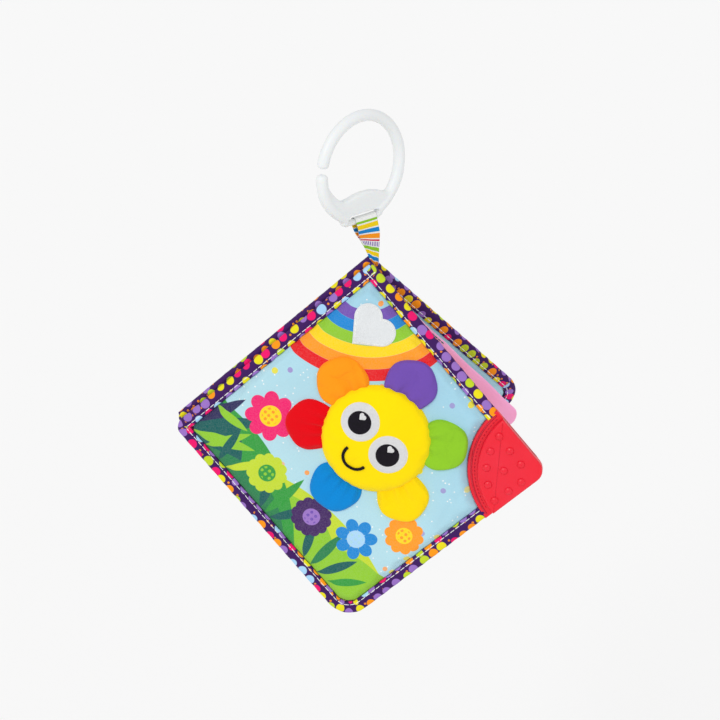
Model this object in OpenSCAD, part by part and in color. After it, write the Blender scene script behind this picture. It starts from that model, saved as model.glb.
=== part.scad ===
// Soft cloth book that hangs by its spine corner from a moulded ring.
// The origin is the inner top of the ring, where a peg or a bar would carry it.
// +Z is up, -Y faces the reader and +X is to the right.

/* [Covers] */
// Width of a cover, from the spine to the fore edge
cover_w = 160; // [130:1:200]
// Height of a cover, along the spine
cover_h = 157; // [130:1:200]
// Radius of the rounded corners at the fore edge
corner_r = 16; // [9:0.5:20]
// Radius of the rounded corner at the foot of the spine
foot_corner_r = 7; // [2:0.5:9]
// Thickness of one layer of cloth
cloth_t = 0.8; // [0.6:0.1:1.2]
// Thickness of the wadding in a cover
wadding_t = 4.2; // [3:0.1:6]
// Thickness of the crinkle film beside the wadding
film_t = 0.3; // [0.2:0.05:0.5]
// Width of the binding on each face
binding_w = 8; // [6:0.5:12]
// Thickness of the binding cloth
binding_t = 0.9; // [0.6:0.1:1.2]
// Width over which the wadding slopes down to the binding
shoulder_w = 3.5; // [2:0.5:6]

/* [Spine] */
// Distance from the spine axis to the near edge of a cover
spine_gap = 1; // [1:0.5:3]
// Distance from the spine axis to the inner face of a cover
leaf_gap = 2.6; // [2.6:0.1:4]
// Thickness of the spine cloth
spine_t = 0.8; // [0.6:0.1:1]
// Tilt of the spine above the horizontal
spine_tilt = 41.3; // [36:0.1:46]
// Angle of the front cover in front of the hanging plane
front_open = 12; // [6:0.5:30]
// Angle of the back cover behind the hanging plane
back_open = 20.6; // [18:0.1:30]

/* [Page] */
// Thickness of the satin page
page_t = 2; // [1.2:0.1:2.4]
// Distance from the page's edges to the edges of the covers
page_inset = 6; // [4:0.5:12]
// Height of the ripples in the page
ripple_h = 0.9; // [0:0.1:1]
// Length of one ripple
ripple_pitch = 38; // [25:1:60]
// Flat stretch of the page beside the spine
page_flat = 12; // [10:1:20]
// Angle of the page behind the hanging plane
page_lean = 13; // [10:0.5:14]

/* [Clip ring] */
// Radius of the ring's centre line
ring_r = 29.5; // [27:0.5:35]
// Diameter of the ring's round section
ring_section = 6.8; // [6:0.1:9]
// Turn of the ring about the vertical
ring_yaw = 43; // [0:1:60]
// Width of the gap through which the ring is clipped on
ring_gap = 3; // [2:0.5:6]
// Angle of that gap round the ring, from its right side
gap_angle = 173; // [150:1:200]
// Thickness of the web that fills the foot of the ring
web_t = 5; // [3:0.1:6]
// Distance from the ring's centre down to the web's upper edge
web_top = 16; // [12:0.5:18]
// Length of the slot for the ribbon
slot_w = 24; // [20:1:28]
// Height of the slot above the rail
slot_h = 5.4; // [5:0.2:7]
// Diameter of the rail that carries the ribbon
rail_d = 3.6; // [3:0.1:5]

/* [Ribbon] */
// Width of the ribbon on the rail
ribbon_w = 16; // [10:0.5:18]
// Width of the ribbon at its waist, above the spine
waist_w = 15; // [9:0.5:17]
// Distance from the rail's axis down to that waist
waist_drop = 17.7; // [14:0.1:20]
// Distance from the middle to each strand at the waist
waist_reach = 1.1; // [0.8:0.1:1.8]
// Width of the ribbon where it is gathered into the spine
foot_w = 9; // [6:0.5:10]
// Place of the ribbon along the rail, from the rail's middle
ribbon_slide = 2; // [-3:0.5:3]
// Thickness of one layer of ribbon
ribbon_t = 0.7; // [0.5:0.1:1]
// Distance from the rail's axis down to the spine's upper corner
ribbon_drop = 24.6; // [24:0.1:40]
// Sideways place of the spine's upper corner, from the rail's middle
corner_shift_x = 5.9; // [-7:0.1:7]
// Place of the spine's upper corner behind the rail's middle
corner_shift_y = 2.8; // [-5:0.1:5]

/* [Flower] */
// Place of the flower's centre across the cover, from the spine
flower_u = 82; // [72:1:92]
// Distance from the flower's centre to the cover's upper edge
flower_drop = 65; // [60:1:75]
// Radius of the padded head
head_r = 32.6; // [28:0.2:36]
// Height of the padded head's rim
head_rim_h = 2.4; // [1.5:0.1:4]
// Height of the head's dome above its rim
dome_h = 7; // [5:0.5:10]
// Radius of a petal
petal_r = 15.7; // [12:0.1:17]
// Distance from the flower's centre to a petal's centre
petal_reach = 38.5; // [38.5:0.5:43]
// Thickness of a petal
petal_t = 2.4; // [1.2:0.1:3]
// Height over which a petal's edge rounds off
petal_bevel = 0.8; // [0.4:0.1:1]
// Angle of the first petal
first_petal = 170; // [150:1:190]
// Angle from one petal to the next
petal_step = 62.2; // [60:0.1:63]

/* [Face] */
// Radius of an eye's white
eye_r = 11.6; // [9:0.1:12]
// Distance between the eyes' centres
eye_spacing = 25; // [24.4:0.1:28]
// Radius of a pupil
pupil_r = 7; // [5:0.1:8]
// Radius of the light spot on a pupil
highlight_r = 2.3; // [1.5:0.1:3]
// Distance of that spot to the left of the pupil's centre
highlight_left_by = 2.5; // [1:0.1:3]
// Distance of that spot above the pupil's centre
highlight_up_by = 3.5; // [1:0.1:4]
// Radius of the smile's arc
smile_r = 7.5; // [5:0.1:9]
// Distance from the flower's centre down to the smile's centre
smile_drop = 15; // [13:0.5:18]
// Width of the smile's satin stitch
smile_w = 1.5; // [1:0.1:2.5]
// Thickness of each embroidered layer
stitch_t = 0.4; // [0.3:0.05:0.6]

/* [Label] */
// Width of the blank heart-shaped patch
label_w = 28; // [20:1:30]
// Place of the patch's centre across the cover, from the spine
label_u = 30; // [28:1:34]
// Distance from the patch's centre to the cover's upper edge
label_drop = 27; // [27:1:34]

/* [Teether] */
// Radius of the teether corner
teether_r = 47; // [40:1:52]
// Radius of the teether's tip
tip_r = 8; // [5:0.5:12]
// Width of the flange that is sewn to the cover
flange_w = 6; // [5:0.5:8]
// Thickness of the flange on the outer face
flange_t = 1.4; // [1:0.1:2]
// Thickness of the teether's body
teether_t = 7.2; // [6:0.2:9]
// Height over which the teether's edges round off
teether_bevel = 1.6; // [0.8:0.1:2]
// Radius of a nub
nub_r = 2.1; // [1.5:0.1:2.8]
// Height of a nub
nub_h = 1.1; // [0.6:0.1:1.8]

/* [Print] */
// Thickness of the printed fields
print_t = 0.1; // [0.1:0.05:0.2]
// Width of one colour band in the corner
band_w = 7; // [5:0.5:9]
// Inner radius of the innermost colour band
first_band_r = 28; // [22:1:34]
// Place of the near hill's middle across the cover
near_hill_u = 32; // [20:1:50]
// Radius of the near hill
near_hill_r = 99; // [80:1:120]
// Height of the near hill's top above the cover's lower edge
near_hill_top = 38.6; // [25:0.2:45]
// Place of the far hill's middle across the cover
far_hill_u = 115; // [95:1:130]
// Radius of the far hill
far_hill_r = 128; // [100:1:160]
// Height of the far hill's top above the cover's lower edge
far_hill_top = 42.4; // [30:0.2:50]

/* [Hidden] */
$fn = 72;
eps = 0.01;
run_gap = 0.3;
lap = 0.05;

RED = "#e40011";
ORANGE = "#ff9a15";
YELLOW = "#f9d602";
GREEN = "#8fc92a";
BLUE = "#0686d3";
PURPLE = "#7350b0";
BINDING = "#3f1a5e";
SKY = "#a9d7e6";

// Levels through a cover, from the inner face outwards
lining_z = binding_t;
film_z = lining_z + cloth_t;
wadding_z = film_z + film_t;
wadding_top = wadding_z + wadding_t;
panel_top = wadding_top + cloth_t;
rim_top = film_z + cloth_t;
cover_rim_t = rim_top + binding_t;
applique_z = panel_top + print_t;

// Insets from a cover's edge, and the teether's room in the wadding
pad_inset = binding_w + cloth_t + 0.2;
flat_inset = pad_inset + shoulder_w;
print_inset = flat_inset + 0.5;
pad_cut_r = teether_r + cloth_t + 0.8;

// The spine, measured from its axis, drawn in between the covers' near edges
spine_out_r = norm([spine_gap, leaf_gap]) - run_gap;
spine_in_r = spine_out_r - spine_t;
spine_reach = 66;

// The ring, measured from its centre
ring_in_r = ring_r - ring_section / 2;
rail_z = -(ring_r + ring_section / 2 - rail_d / 2 - 0.4);
slot_top = rail_z + rail_d / 2 + slot_h;
cheek_z = rail_z + (ring_section - rail_d) / 2;

// The ribbon's loop, measured from the rail's axis
loop_in_r = rail_d / 2 + run_gap;
loop_out_r = loop_in_r + ribbon_t;
foot_t = 2 * ribbon_t + 0.1;
foot_h = page_inset - 0.2;
foot_x = lap - sqrt(pow(spine_in_r, 2) - pow(foot_t / 2, 2));

// The flower
flower_v = cover_h - flower_drop;
dome_r = (head_r * head_r + dome_h * dome_h) / (2 * dome_h);
dome_centre_z = head_rim_h + dome_h - dome_r;

// Rows of nubs: radius from the corner, number, first and last angle
NUB_ROWS = [[16.5, 2, 33, 71], [25.5, 3, 20, 77], [35.5, 5, 13, 80]];

// The colours of the corner's bands, from the outermost inwards
BAND_COLOURS = [RED, ORANGE, YELLOW, GREEN, BLUE, PURPLE];
PETAL_COLOURS = [ORANGE, PURPLE, GREEN, YELLOW, BLUE, RED];

// Ring frame: the ring's plane is XZ and its centre is the origin
module in_ring() {
    translate([0, 0, -ring_in_r])
        rotate([0, 0, ring_yaw])
            children();
}

// Spine frame: X leaves the spine, Y runs up it and Z faces the reader
module in_spine() {
    translate([corner_shift_x, corner_shift_y, rail_z - ring_in_r - ribbon_drop])
        rotate([0, 90 - spine_tilt, 0])
            rotate([90, 0, 0])
                translate([0, -cover_h, 0])
                    children();
}

// Front cover frame: Z is 0 on the inner face and faces outwards
module on_front() {
    in_spine()
        rotate([0, -front_open, 0])
            translate([0, 0, leaf_gap])
                children();
}

// Back cover frame, which mirrors the front cover's
module on_back() {
    in_spine()
        rotate([0, back_open, 0])
            mirror([0, 0, 1])
                translate([0, 0, leaf_gap])
                    children();
}

module on_page() {
    in_spine()
        rotate([0, page_lean, 0])
            children();
}

module on_flower(z = 0) {
    on_front()
        translate([flower_u, flower_v, applique_z + z])
            children();
}

module at_corner() {
    translate([cover_w, cover_h, 0])
        children();
}

// Outline of a cover that is inset all round, with round corners at the fore edge
module cover_outline(inset, round_r = corner_r) {
    r = max(round_r - inset, 1);
    foot_r = max(foot_corner_r - inset, 1);
    left = spine_gap + inset;
    right = cover_w - inset;
    low = inset;
    high = cover_h - inset;
    translate([left + foot_r, low])
        square([right - r - left - foot_r, high - low]);
    translate([left, low + foot_r])
        square([right - r - left, high - low - foot_r]);
    translate([left + foot_r, low + r])
        square([right - left - foot_r, high - low - 2 * r]);
    translate([left + foot_r, low + foot_r])
        circle(foot_r);
    for (y = [low + r, high - r])
        translate([right - r, y])
            circle(r);
}

module sheet(inset, z, t) {
    translate([0, 0, z])
        linear_extrude(t)
            cover_outline(inset);
}

// The wadding's form, grown by the cloth that covers it
module pillow(grow, with_teether) {
    difference() {
        hull() {
            sheet(pad_inset - grow, film_z, wadding_top * 0.4);
            sheet(flat_inset - grow, film_z, wadding_top + grow - film_z);
        }
        if (with_teether)
            at_corner()
                translate([0, 0, film_z - eps])
                    cylinder(h = panel_top, r1 = pad_cut_r - grow,
                        r2 = pad_cut_r - grow + shoulder_w);
    }
}

// The fabric's cut-out at the teether, inside its flange
module teether_cut() {
    at_corner()
        translate([0, 0, -eps])
            cylinder(h = panel_top, r = teether_r - flange_w + run_gap);
}

module outer_panel(with_teether) {
    difference() {
        union() {
            sheet(binding_t, film_z, cloth_t);
            pillow(cloth_t, with_teether);
        }
        pillow(0, with_teether);
        if (with_teether)
            teether_cut();
    }
}

module wadding(with_teether) {
    difference() {
        pillow(0, with_teether);
        sheet(0, 0, wadding_z);
    }
}

module crinkle_film(with_teether) {
    difference() {
        sheet(pad_inset, film_z, film_t);
        if (with_teether)
            at_corner()
                cylinder(h = panel_top, r = pad_cut_r + 0.2);
    }
}

module lining(with_teether) {
    difference() {
        sheet(binding_t, lining_z, cloth_t);
        if (with_teether)
            teether_cut();
    }
}

// Binding folded round the edge, with the cloth between its two faces
module binding(with_teether) {
    difference() {
        sheet(0, 0, cover_rim_t);
        sheet(binding_t, lining_z, rim_top - lining_z);
        sheet(binding_w, -eps, cover_rim_t + 2 * eps);
        if (with_teether)
            at_corner()
                translate([0, 0, -eps])
                    cylinder(h = panel_top, r = teether_r);
    }
}

// The clip ring
module clip_ring() {
    color("#eceff0")
        in_ring() {
            difference() {
                union() {
                    rotate([90, 0, 0])
                        rotate_extrude()
                            translate([ring_r, 0])
                                circle(d = ring_section);
                    ring_web();
                }
                translate([-slot_w / 2, -ring_section, 2 * rail_z])
                    cube([slot_w, 2 * ring_section, slot_top - 2 * rail_z]);
                rotate([0, -gap_angle, 0])
                    translate([ring_in_r - 1, -ring_section, -ring_gap / 2])
                        cube([ring_section + 2, 2 * ring_section, ring_gap]);
            }
            ring_rail();
        }
}

module ring_web() {
    rotate([90, 0, 0])
        translate([0, 0, -web_t / 2])
            linear_extrude(web_t)
                intersection() {
                    circle(ring_r);
                    translate([-ring_r, -2 * ring_r - web_top])
                        square(2 * ring_r);
                }
}

module ring_rail() {
    translate([-slot_w / 2 - 1, 0, rail_z])
        rotate([0, 90, 0])
            cylinder(h = slot_w + 2, d = rail_d);
    for (side = [-1, 1])
        translate([side * (slot_w / 2 + 1.6), 0, cheek_z])
            sphere(d = ring_section);
}

// The ribbon, a loop round the rail with both ends in the spine
module ribbon_loop() {
    color("#f2e9b0") {
        in_ring()
            translate([0, 0, rail_z])
                ribbon_bend();
        for (side = [-1, 1])
            ribbon_strand(side);
        ribbon_foot();
    }
}

module ribbon_bend() {
    difference() {
        translate([ribbon_slide - ribbon_w / 2, 0, 0])
            rotate([0, 90, 0])
                cylinder(h = ribbon_w, r = loop_out_r);
        translate([-ribbon_w, 0, 0])
            rotate([0, 90, 0])
                cylinder(h = 2 * ribbon_w, r = loop_in_r);
        translate([-ribbon_w, -ribbon_w, -2 * ribbon_w])
            cube(2 * ribbon_w);
    }
}

// One side of the loop: straight from the rail, then gathered into the foot
module ribbon_strand(side) {
    hull() {
        strand_top(side);
        strand_waist(side);
    }
    hull() {
        strand_waist(side);
        strand_end(side);
    }
}

module strand_top(side) {
    in_ring()
        translate([ribbon_slide - ribbon_w / 2, side * (loop_in_r + ribbon_t / 2) - ribbon_t / 2, rail_z - 0.5])
            cube([ribbon_w, ribbon_t, 0.5 + lap]);
}

module strand_waist(side) {
    share = waist_drop / ribbon_drop;
    slide = ribbon_slide * (1 - share);
    x = slide * cos(ring_yaw) + corner_shift_x * share;
    y = slide * sin(ring_yaw) + corner_shift_y * share;
    translate([x, y, rail_z - ring_in_r - waist_drop])
        rotate([0, 0, ring_yaw * share])
            translate([-waist_w / 2, side * waist_reach - ribbon_t / 2, 0])
                cube([waist_w, ribbon_t, 0.5]);
}

module strand_end(side) {
    on_page()
        translate([foot_x, cover_h, side * (foot_t - ribbon_t) / 2 - ribbon_t / 2])
            cube([foot_w, 0.5, ribbon_t]);
}

module ribbon_foot() {
    on_page()
        translate([foot_x, cover_h - foot_h, -foot_t / 2])
            cube([foot_w, foot_h + 0.5, foot_t]);
}

// The cloth that joins the two covers round the back of the spine
module spine_tape() {
    front_edge = front_open + spine_reach;
    back_edge = 360 - back_open - spine_reach;
    color(BINDING)
        in_spine()
            translate([0, cover_h - 0.5, 0])
                rotate([90, 0, 0])
                    linear_extrude(cover_h - 0.5 - foot_corner_r / 2)
                        difference() {
                            circle(spine_out_r);
                            circle(spine_in_r);
                            polygon([
                                [0, 0],
                                for (a = [back_edge - 360 : (front_edge + 360 - back_edge) / 4 : front_edge + eps])
                                    [3 * spine_out_r * cos(a), 3 * spine_out_r * sin(a)]
                            ]);
                        }
}

// The rippled satin page, held in the spine
module inner_page() {
    left = lap - sqrt(pow(spine_in_r, 2) - pow(page_t / 2, 2));
    right = cover_w - page_inset;
    steps = 28;
    function ripple(x) = x < page_flat ? 0 : ripple_h * sin(360 * (x - page_flat) / ripple_pitch);
    function x_at(i) = left + (right - left) * i / steps;
    color("#fba1d4")
        on_page()
            intersection() {
                translate([0, cover_h - page_inset, 0])
                    rotate([90, 0, 0])
                        linear_extrude(cover_h - 2 * page_inset)
                            polygon([
                                for (i = [0 : steps])
                                    [x_at(i), ripple(x_at(i)) + page_t / 2],
                                for (i = [steps : -1 : 0])
                                    [x_at(i), ripple(x_at(i)) - page_t / 2]
                            ]);
                translate([0, 0, -page_t - ripple_h])
                    linear_extrude(2 * (page_t + ripple_h)) {
                        translate([left, page_inset])
                            square([right - left - corner_r, cover_h - 2 * page_inset]);
                        cover_outline(page_inset);
                    }
            }
}

// Front cover
module front_outer_panel() {
    color(SKY)
        on_front()
            outer_panel(true);
}

module front_wadding() {
    color("white")
        on_front()
            wadding(true);
}

module front_crinkle_film() {
    color("#d8e2e8")
        on_front()
            crinkle_film(true);
}

module front_lining() {
    color("#f3efb0")
        on_front()
            lining(true);
}

module front_binding() {
    color(BINDING)
        on_front()
            binding(true);
}

// Printed fields on the flat of the front cover
module print_field() {
    on_front()
        translate([0, 0, panel_top])
            linear_extrude(print_t)
                difference() {
                    intersection() {
                        cover_outline(print_inset);
                        children();
                    }
                    at_corner()
                        circle(pad_cut_r + shoulder_w + 0.5);
                }
}

// A hill as a wide disc whose top stands above the lower binding
module hill(centre_u, radius, top_v) {
    translate([centre_u, top_v - radius])
        circle(radius);
}

module near_hill_shape() {
    hill(near_hill_u, near_hill_r, near_hill_top);
}

module far_hill_shape() {
    hill(far_hill_u, far_hill_r, far_hill_top);
}

module print_near_hill() {
    color("#2e9a3a")
        print_field()
            near_hill_shape();
}

module print_far_hill() {
    color("#c2dc3a")
        print_field()
            difference() {
                far_hill_shape();
                near_hill_shape();
            }
}

// A quarter of a ring about the spine's upper corner
module print_band(i) {
    out_r = first_band_r + (len(BAND_COLOURS) - i) * band_w;
    color(BAND_COLOURS[i])
        print_field()
            translate([0, cover_h])
                difference() {
                    circle(out_r);
                    circle(out_r - band_w);
                }
}

module print_band_red() { print_band(0); }
module print_band_orange() { print_band(1); }
module print_band_yellow() { print_band(2); }
module print_band_green() { print_band(3); }
module print_band_blue() { print_band(4); }
module print_band_purple() { print_band(5); }

// Flower: half of the padded head's section, drawn in by the cloth for its filling
module head_section(inset) {
    intersection() {
        square([head_r - inset, head_rim_h + dome_h]);
        translate([0, dome_centre_z])
            circle(dome_r - inset, $fn = 360);
    }
}

module flower_head() {
    color("#ffe000")
        on_flower()
            rotate_extrude()
                difference() {
                    head_section(0);
                    head_section(cloth_t);
                }
}

module flower_filling() {
    color("white")
        on_flower()
            rotate_extrude()
                head_section(cloth_t);
}

module petal(i) {
    angle = first_petal - i * petal_step;
    color(PETAL_COLOURS[i])
        on_flower()
            difference() {
                rotate([0, 0, angle])
                    translate([petal_reach, 0, 0])
                        union() {
                            cylinder(h = petal_t - petal_bevel, r = petal_r);
                            translate([0, 0, petal_t - petal_bevel])
                                cylinder(h = petal_bevel, r1 = petal_r, r2 = petal_r - 2 * petal_bevel);
                        }
                translate([0, 0, -eps])
                    cylinder(h = petal_t + 1, r = head_r + 0.1);
            }
}

module petal_orange() { petal(0); }
module petal_purple() { petal(1); }
module petal_green() { petal(2); }
module petal_yellow() { petal(3); }
module petal_blue() { petal(4); }
module petal_red() { petal(5); }

// One embroidered layer of the face, laid on the dome
module on_dome(layer) {
    on_flower()
        intersection() {
            linear_extrude(head_rim_h + dome_h + 4 * stitch_t)
                children();
            translate([0, 0, dome_centre_z])
                difference() {
                    sphere(r = dome_r + (layer + 1) * stitch_t, $fn = 180);
                    sphere(r = dome_r + layer * stitch_t, $fn = 180);
                }
        }
}

module at_eye(side) {
    translate([side * eye_spacing / 2, 0])
        children();
}

module eye_white(side) {
    color("white")
        on_dome(0)
            at_eye(side)
                circle(eye_r);
}

module pupil(side) {
    color("#14120f")
        on_dome(1)
            at_eye(side)
                circle(pupil_r);
}

module highlight(side) {
    color("white")
        on_dome(2)
            at_eye(side)
                translate([-highlight_left_by, highlight_up_by])
                    circle(highlight_r);
}

module eye_white_left() { eye_white(-1); }
module eye_white_right() { eye_white(1); }
module pupil_left() { pupil(-1); }
module pupil_right() { pupil(1); }
module highlight_left() { highlight(-1); }
module highlight_right() { highlight(1); }

module smile() {
    color("#14120f")
        on_dome(0)
            translate([0, -smile_drop])
                difference() {
                    circle(smile_r + smile_w / 2);
                    circle(smile_r - smile_w / 2);
                    translate([-2 * smile_r, 0])
                        square(4 * smile_r);
                }
}

// The blank label patch, a heart of one square and two discs
module heart(side) {
    rotate(45) {
        square(side, center = true);
        translate([side / 2, 0])
            circle(d = side);
        translate([0, side / 2])
            circle(d = side);
    }
}

module label_patch() {
    color("white")
        on_front()
            translate([label_u, cover_h - label_drop, applique_z])
                linear_extrude(cloth_t)
                    heart(label_w / (1 + sqrt(0.5)));
}

// The moulded teether corner
module teether_slice(r, inset, z, t) {
    translate([0, 0, z])
        linear_extrude(t)
            intersection() {
                cover_outline(inset, tip_r);
                translate([cover_w, cover_h])
                    circle(r);
            }
}

module teether_corner() {
    body_r = teether_r - flange_w;
    bevel = teether_bevel;
    color("#fb1e3c")
        on_front() {
            hull() {
                teether_slice(body_r - bevel, bevel, 0, teether_t);
                teether_slice(body_r, 0, bevel, teether_t - 2 * bevel);
            }
            teether_slice(teether_r, 0, rim_top, flange_t);
            teether_slice(teether_r, 0, 0, binding_t);
            for (row = NUB_ROWS)
                nub_row(row[0], row[1], row[2], row[3]);
        }
}

module nub_row(radius, count, first, last) {
    for (i = [0 : count - 1]) {
        a = 180 + first + (last - first) * i / (count - 1);
        at_corner()
            translate([radius * cos(a), radius * sin(a), teether_t - eps])
                cylinder(h = nub_h + eps, r1 = nub_r, r2 = nub_r * 0.7);
    }
}

// Back cover
module back_outer_panel() {
    color("#f2c53d")
        on_back()
            outer_panel(false);
}

module back_wadding() {
    color("white")
        on_back()
            wadding(false);
}

module back_crinkle_film() {
    color("#d8e2e8")
        on_back()
            crinkle_film(false);
}

module back_inner_panel() {
    color("#9ed3de")
        on_back()
            lining(false);
}

module back_binding() {
    color(BINDING)
        on_back()
            binding(false);
}

clip_ring();
ribbon_loop();
spine_tape();
inner_page();
front_outer_panel();
front_wadding();
front_crinkle_film();
front_lining();
front_binding();
print_far_hill();
print_near_hill();
print_band_red();
print_band_orange();
print_band_yellow();
print_band_green();
print_band_blue();
print_band_purple();
flower_head();
flower_filling();
petal_orange();
petal_purple();
petal_green();
petal_yellow();
petal_blue();
petal_red();
eye_white_left();
eye_white_right();
pupil_left();
pupil_right();
highlight_left();
highlight_right();
smile();
label_patch();
teether_corner();
back_outer_panel();
back_wadding();
back_crinkle_film();
back_inner_panel();
back_binding();
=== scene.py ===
"""A soft cloth baby book that hangs from a moulded ring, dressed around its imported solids."""

import logging
import math
from collections.abc import Callable, Iterable, Sequence
from dataclasses import dataclass, field
from enum import Enum

import bmesh
import bpy
from mathutils import Matrix, Vector
from mathutils.bvhtree import BVHTree


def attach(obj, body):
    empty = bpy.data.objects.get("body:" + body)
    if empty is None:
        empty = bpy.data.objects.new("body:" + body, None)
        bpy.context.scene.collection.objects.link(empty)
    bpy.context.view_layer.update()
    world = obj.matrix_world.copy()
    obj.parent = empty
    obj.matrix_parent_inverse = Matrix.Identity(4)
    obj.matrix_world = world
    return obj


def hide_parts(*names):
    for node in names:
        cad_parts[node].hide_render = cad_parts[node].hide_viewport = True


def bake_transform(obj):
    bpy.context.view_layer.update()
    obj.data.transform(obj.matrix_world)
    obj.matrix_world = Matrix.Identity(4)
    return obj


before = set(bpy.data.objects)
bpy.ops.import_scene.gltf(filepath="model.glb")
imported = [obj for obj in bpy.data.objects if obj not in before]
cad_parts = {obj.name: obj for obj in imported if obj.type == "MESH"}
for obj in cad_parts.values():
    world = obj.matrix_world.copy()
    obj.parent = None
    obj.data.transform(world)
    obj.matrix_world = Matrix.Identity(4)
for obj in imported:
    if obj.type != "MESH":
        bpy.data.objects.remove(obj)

LOG = logging.getLogger("soft_book")
MM = 0.001
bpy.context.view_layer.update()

# Sizes that the part's source gives, in millimetres and degrees
COVER_W, COVER_H, CORNER_R, FOOT_R = 160.0, 157.0, 16.0, 7.0
SPINE_GAP, LEAF_GAP = 1.0, 2.6
SPINE_TILT, FRONT_OPEN, BACK_OPEN, PAGE_LEAN = 41.3, 12.0, 20.6, 13.0
RING_R, RING_SECTION, RING_YAW = 29.5, 6.8, 43.0
RAIL_Z = -30.7
SPINE_TOP = Vector((5.9, 2.8, -81.4))
FLOWER_U, FLOWER_V, APPLIQUE_Z = 82.0, 92.0, 7.1
HEAD_R, PETAL_R, PETAL_REACH = 32.6, 15.7, 38.5
EYE_R, EYE_SPACING, PUPIL_R = 11.6, 25.0, 7.0
TEETHER_R, FLANGE_W, TEETHER_T, TIP_R = 47.0, 6.0, 7.2, 8.0
NUB_ROWS = ((16.5, 2, 33, 71), (25.5, 3, 20, 77), (35.5, 5, 13, 80))

# Sizes of the dressed model alone, in millimetres
TIGHT_R = 1.5
MAP_UNIT = 100.0
WEAVE_PITCH = 1.1
DROP_FROM, LINE_FROM = 60.0, 40.0
RAINBOW_R, BAND_W, BAND_SOFT = 28.0, 7.0, 0.2
STRIPE_RUN = 36.0
MERGE_WITHIN = 0.01

Distance = Callable[[float, float], float]


class Body(Enum):
    """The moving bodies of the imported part."""

    RING = "ring"
    BLOCK = "book_block"
    FRONT = "front_cover"
    BACK = "back_cover"


class Hue(Enum):
    """The colours of the book, as eight-bit sRGB."""

    RED = "e40011"
    ORANGE = "ff9a15"
    YELLOW = "fbd702"
    GREEN = "8fc92a"
    BLUE = "0686d3"
    PURPLE = "7350b0"
    PLUM = "3f1a5e"
    LILAC = "9a72c4"
    LEMON = "ecdf1e"
    LIME = "c3d92b"
    MAGENTA = "f0146e"
    SKY = "a9d7e6"
    MIST = "a9d4f5"
    TEAL = "005b58"
    NAVY = "262357"
    MEADOW = "2e9a3a"
    MOSS = "1f7f4a"
    CREAM = "f3efb0"
    AQUA = "b4e8ef"
    PINK = "ffacdd"
    WHITE = "f4f5f3"
    MILK = "eceff0"
    CHALK = "e2e5e7"
    INK = "060505"
    SUN = "ffe000"
    CORAL = "ef0728"
    BRICK = "c81530"
    AMBER = "f2c53d"
    CRIMSON = "d81e4e"

    @property
    def linear(self) -> tuple[float, float, float, float]:
        """The colour as linear red, green, blue and alpha."""
        parts = (int(self.value[i : i + 2], 16) / 255 for i in (0, 2, 4))
        return (*(p / 12.92 if p <= 0.04045 else ((p + 0.055) / 1.055) ** 2.4 for p in parts), 1.0)


# ---- Places ----


@dataclass(frozen=True)
class Place:
    """A frame of the book in which a piece is laid out in millimetres."""

    origin: Vector
    x: Vector
    y: Vector
    z: Vector

    def point(self, u: float, v: float, w: float) -> Vector:
        """Gives the place of a point in metres in the row frame."""
        return (self.origin + self.x * u + self.y * v + self.z * w) * MM

    def matrix(self) -> Matrix:
        """Gives the matrix from this frame in metres to the row frame."""
        turn = Matrix((self.x, self.y, self.z)).transposed().to_4x4()
        return Matrix.Translation(self.origin * MM) @ turn


def book_places() -> dict[str, Place]:
    """Works out the frames of the spine, both covers, the page and the ring.

    Returns:
        The frames by name.
    """
    tilt = math.radians(SPINE_TILT)
    up = Vector((math.cos(tilt), 0, math.sin(tilt)))
    out = Vector((math.sin(tilt), 0, -math.cos(tilt)))
    near = Vector((0, -1, 0))
    foot = SPINE_TOP - up * COVER_H

    def turned(angle: float, facing: float, lift: float) -> Place:
        a = math.radians(angle)
        x = out * math.cos(a) + near * math.sin(a)
        z = (near * math.cos(a) - out * math.sin(a)) * facing
        return Place(foot + z * lift, x, up, z)

    yaw = math.radians(RING_YAW)
    along = Vector((math.cos(yaw), math.sin(yaw), 0))
    behind = Vector((-math.sin(yaw), math.cos(yaw), 0))
    centre = Vector((0, 0, -(RING_R - RING_SECTION / 2)))
    return {
        "spine": Place(foot, out, up, near),
        "front": turned(FRONT_OPEN, 1, LEAF_GAP),
        "back": turned(-BACK_OPEN, -1, LEAF_GAP),
        "page": turned(-PAGE_LEAN, 1, 0),
        "ring": Place(centre, along, behind, Vector((0, 0, 1))),
    }


PLACES = book_places()


# ---- Shader tools ----


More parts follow.
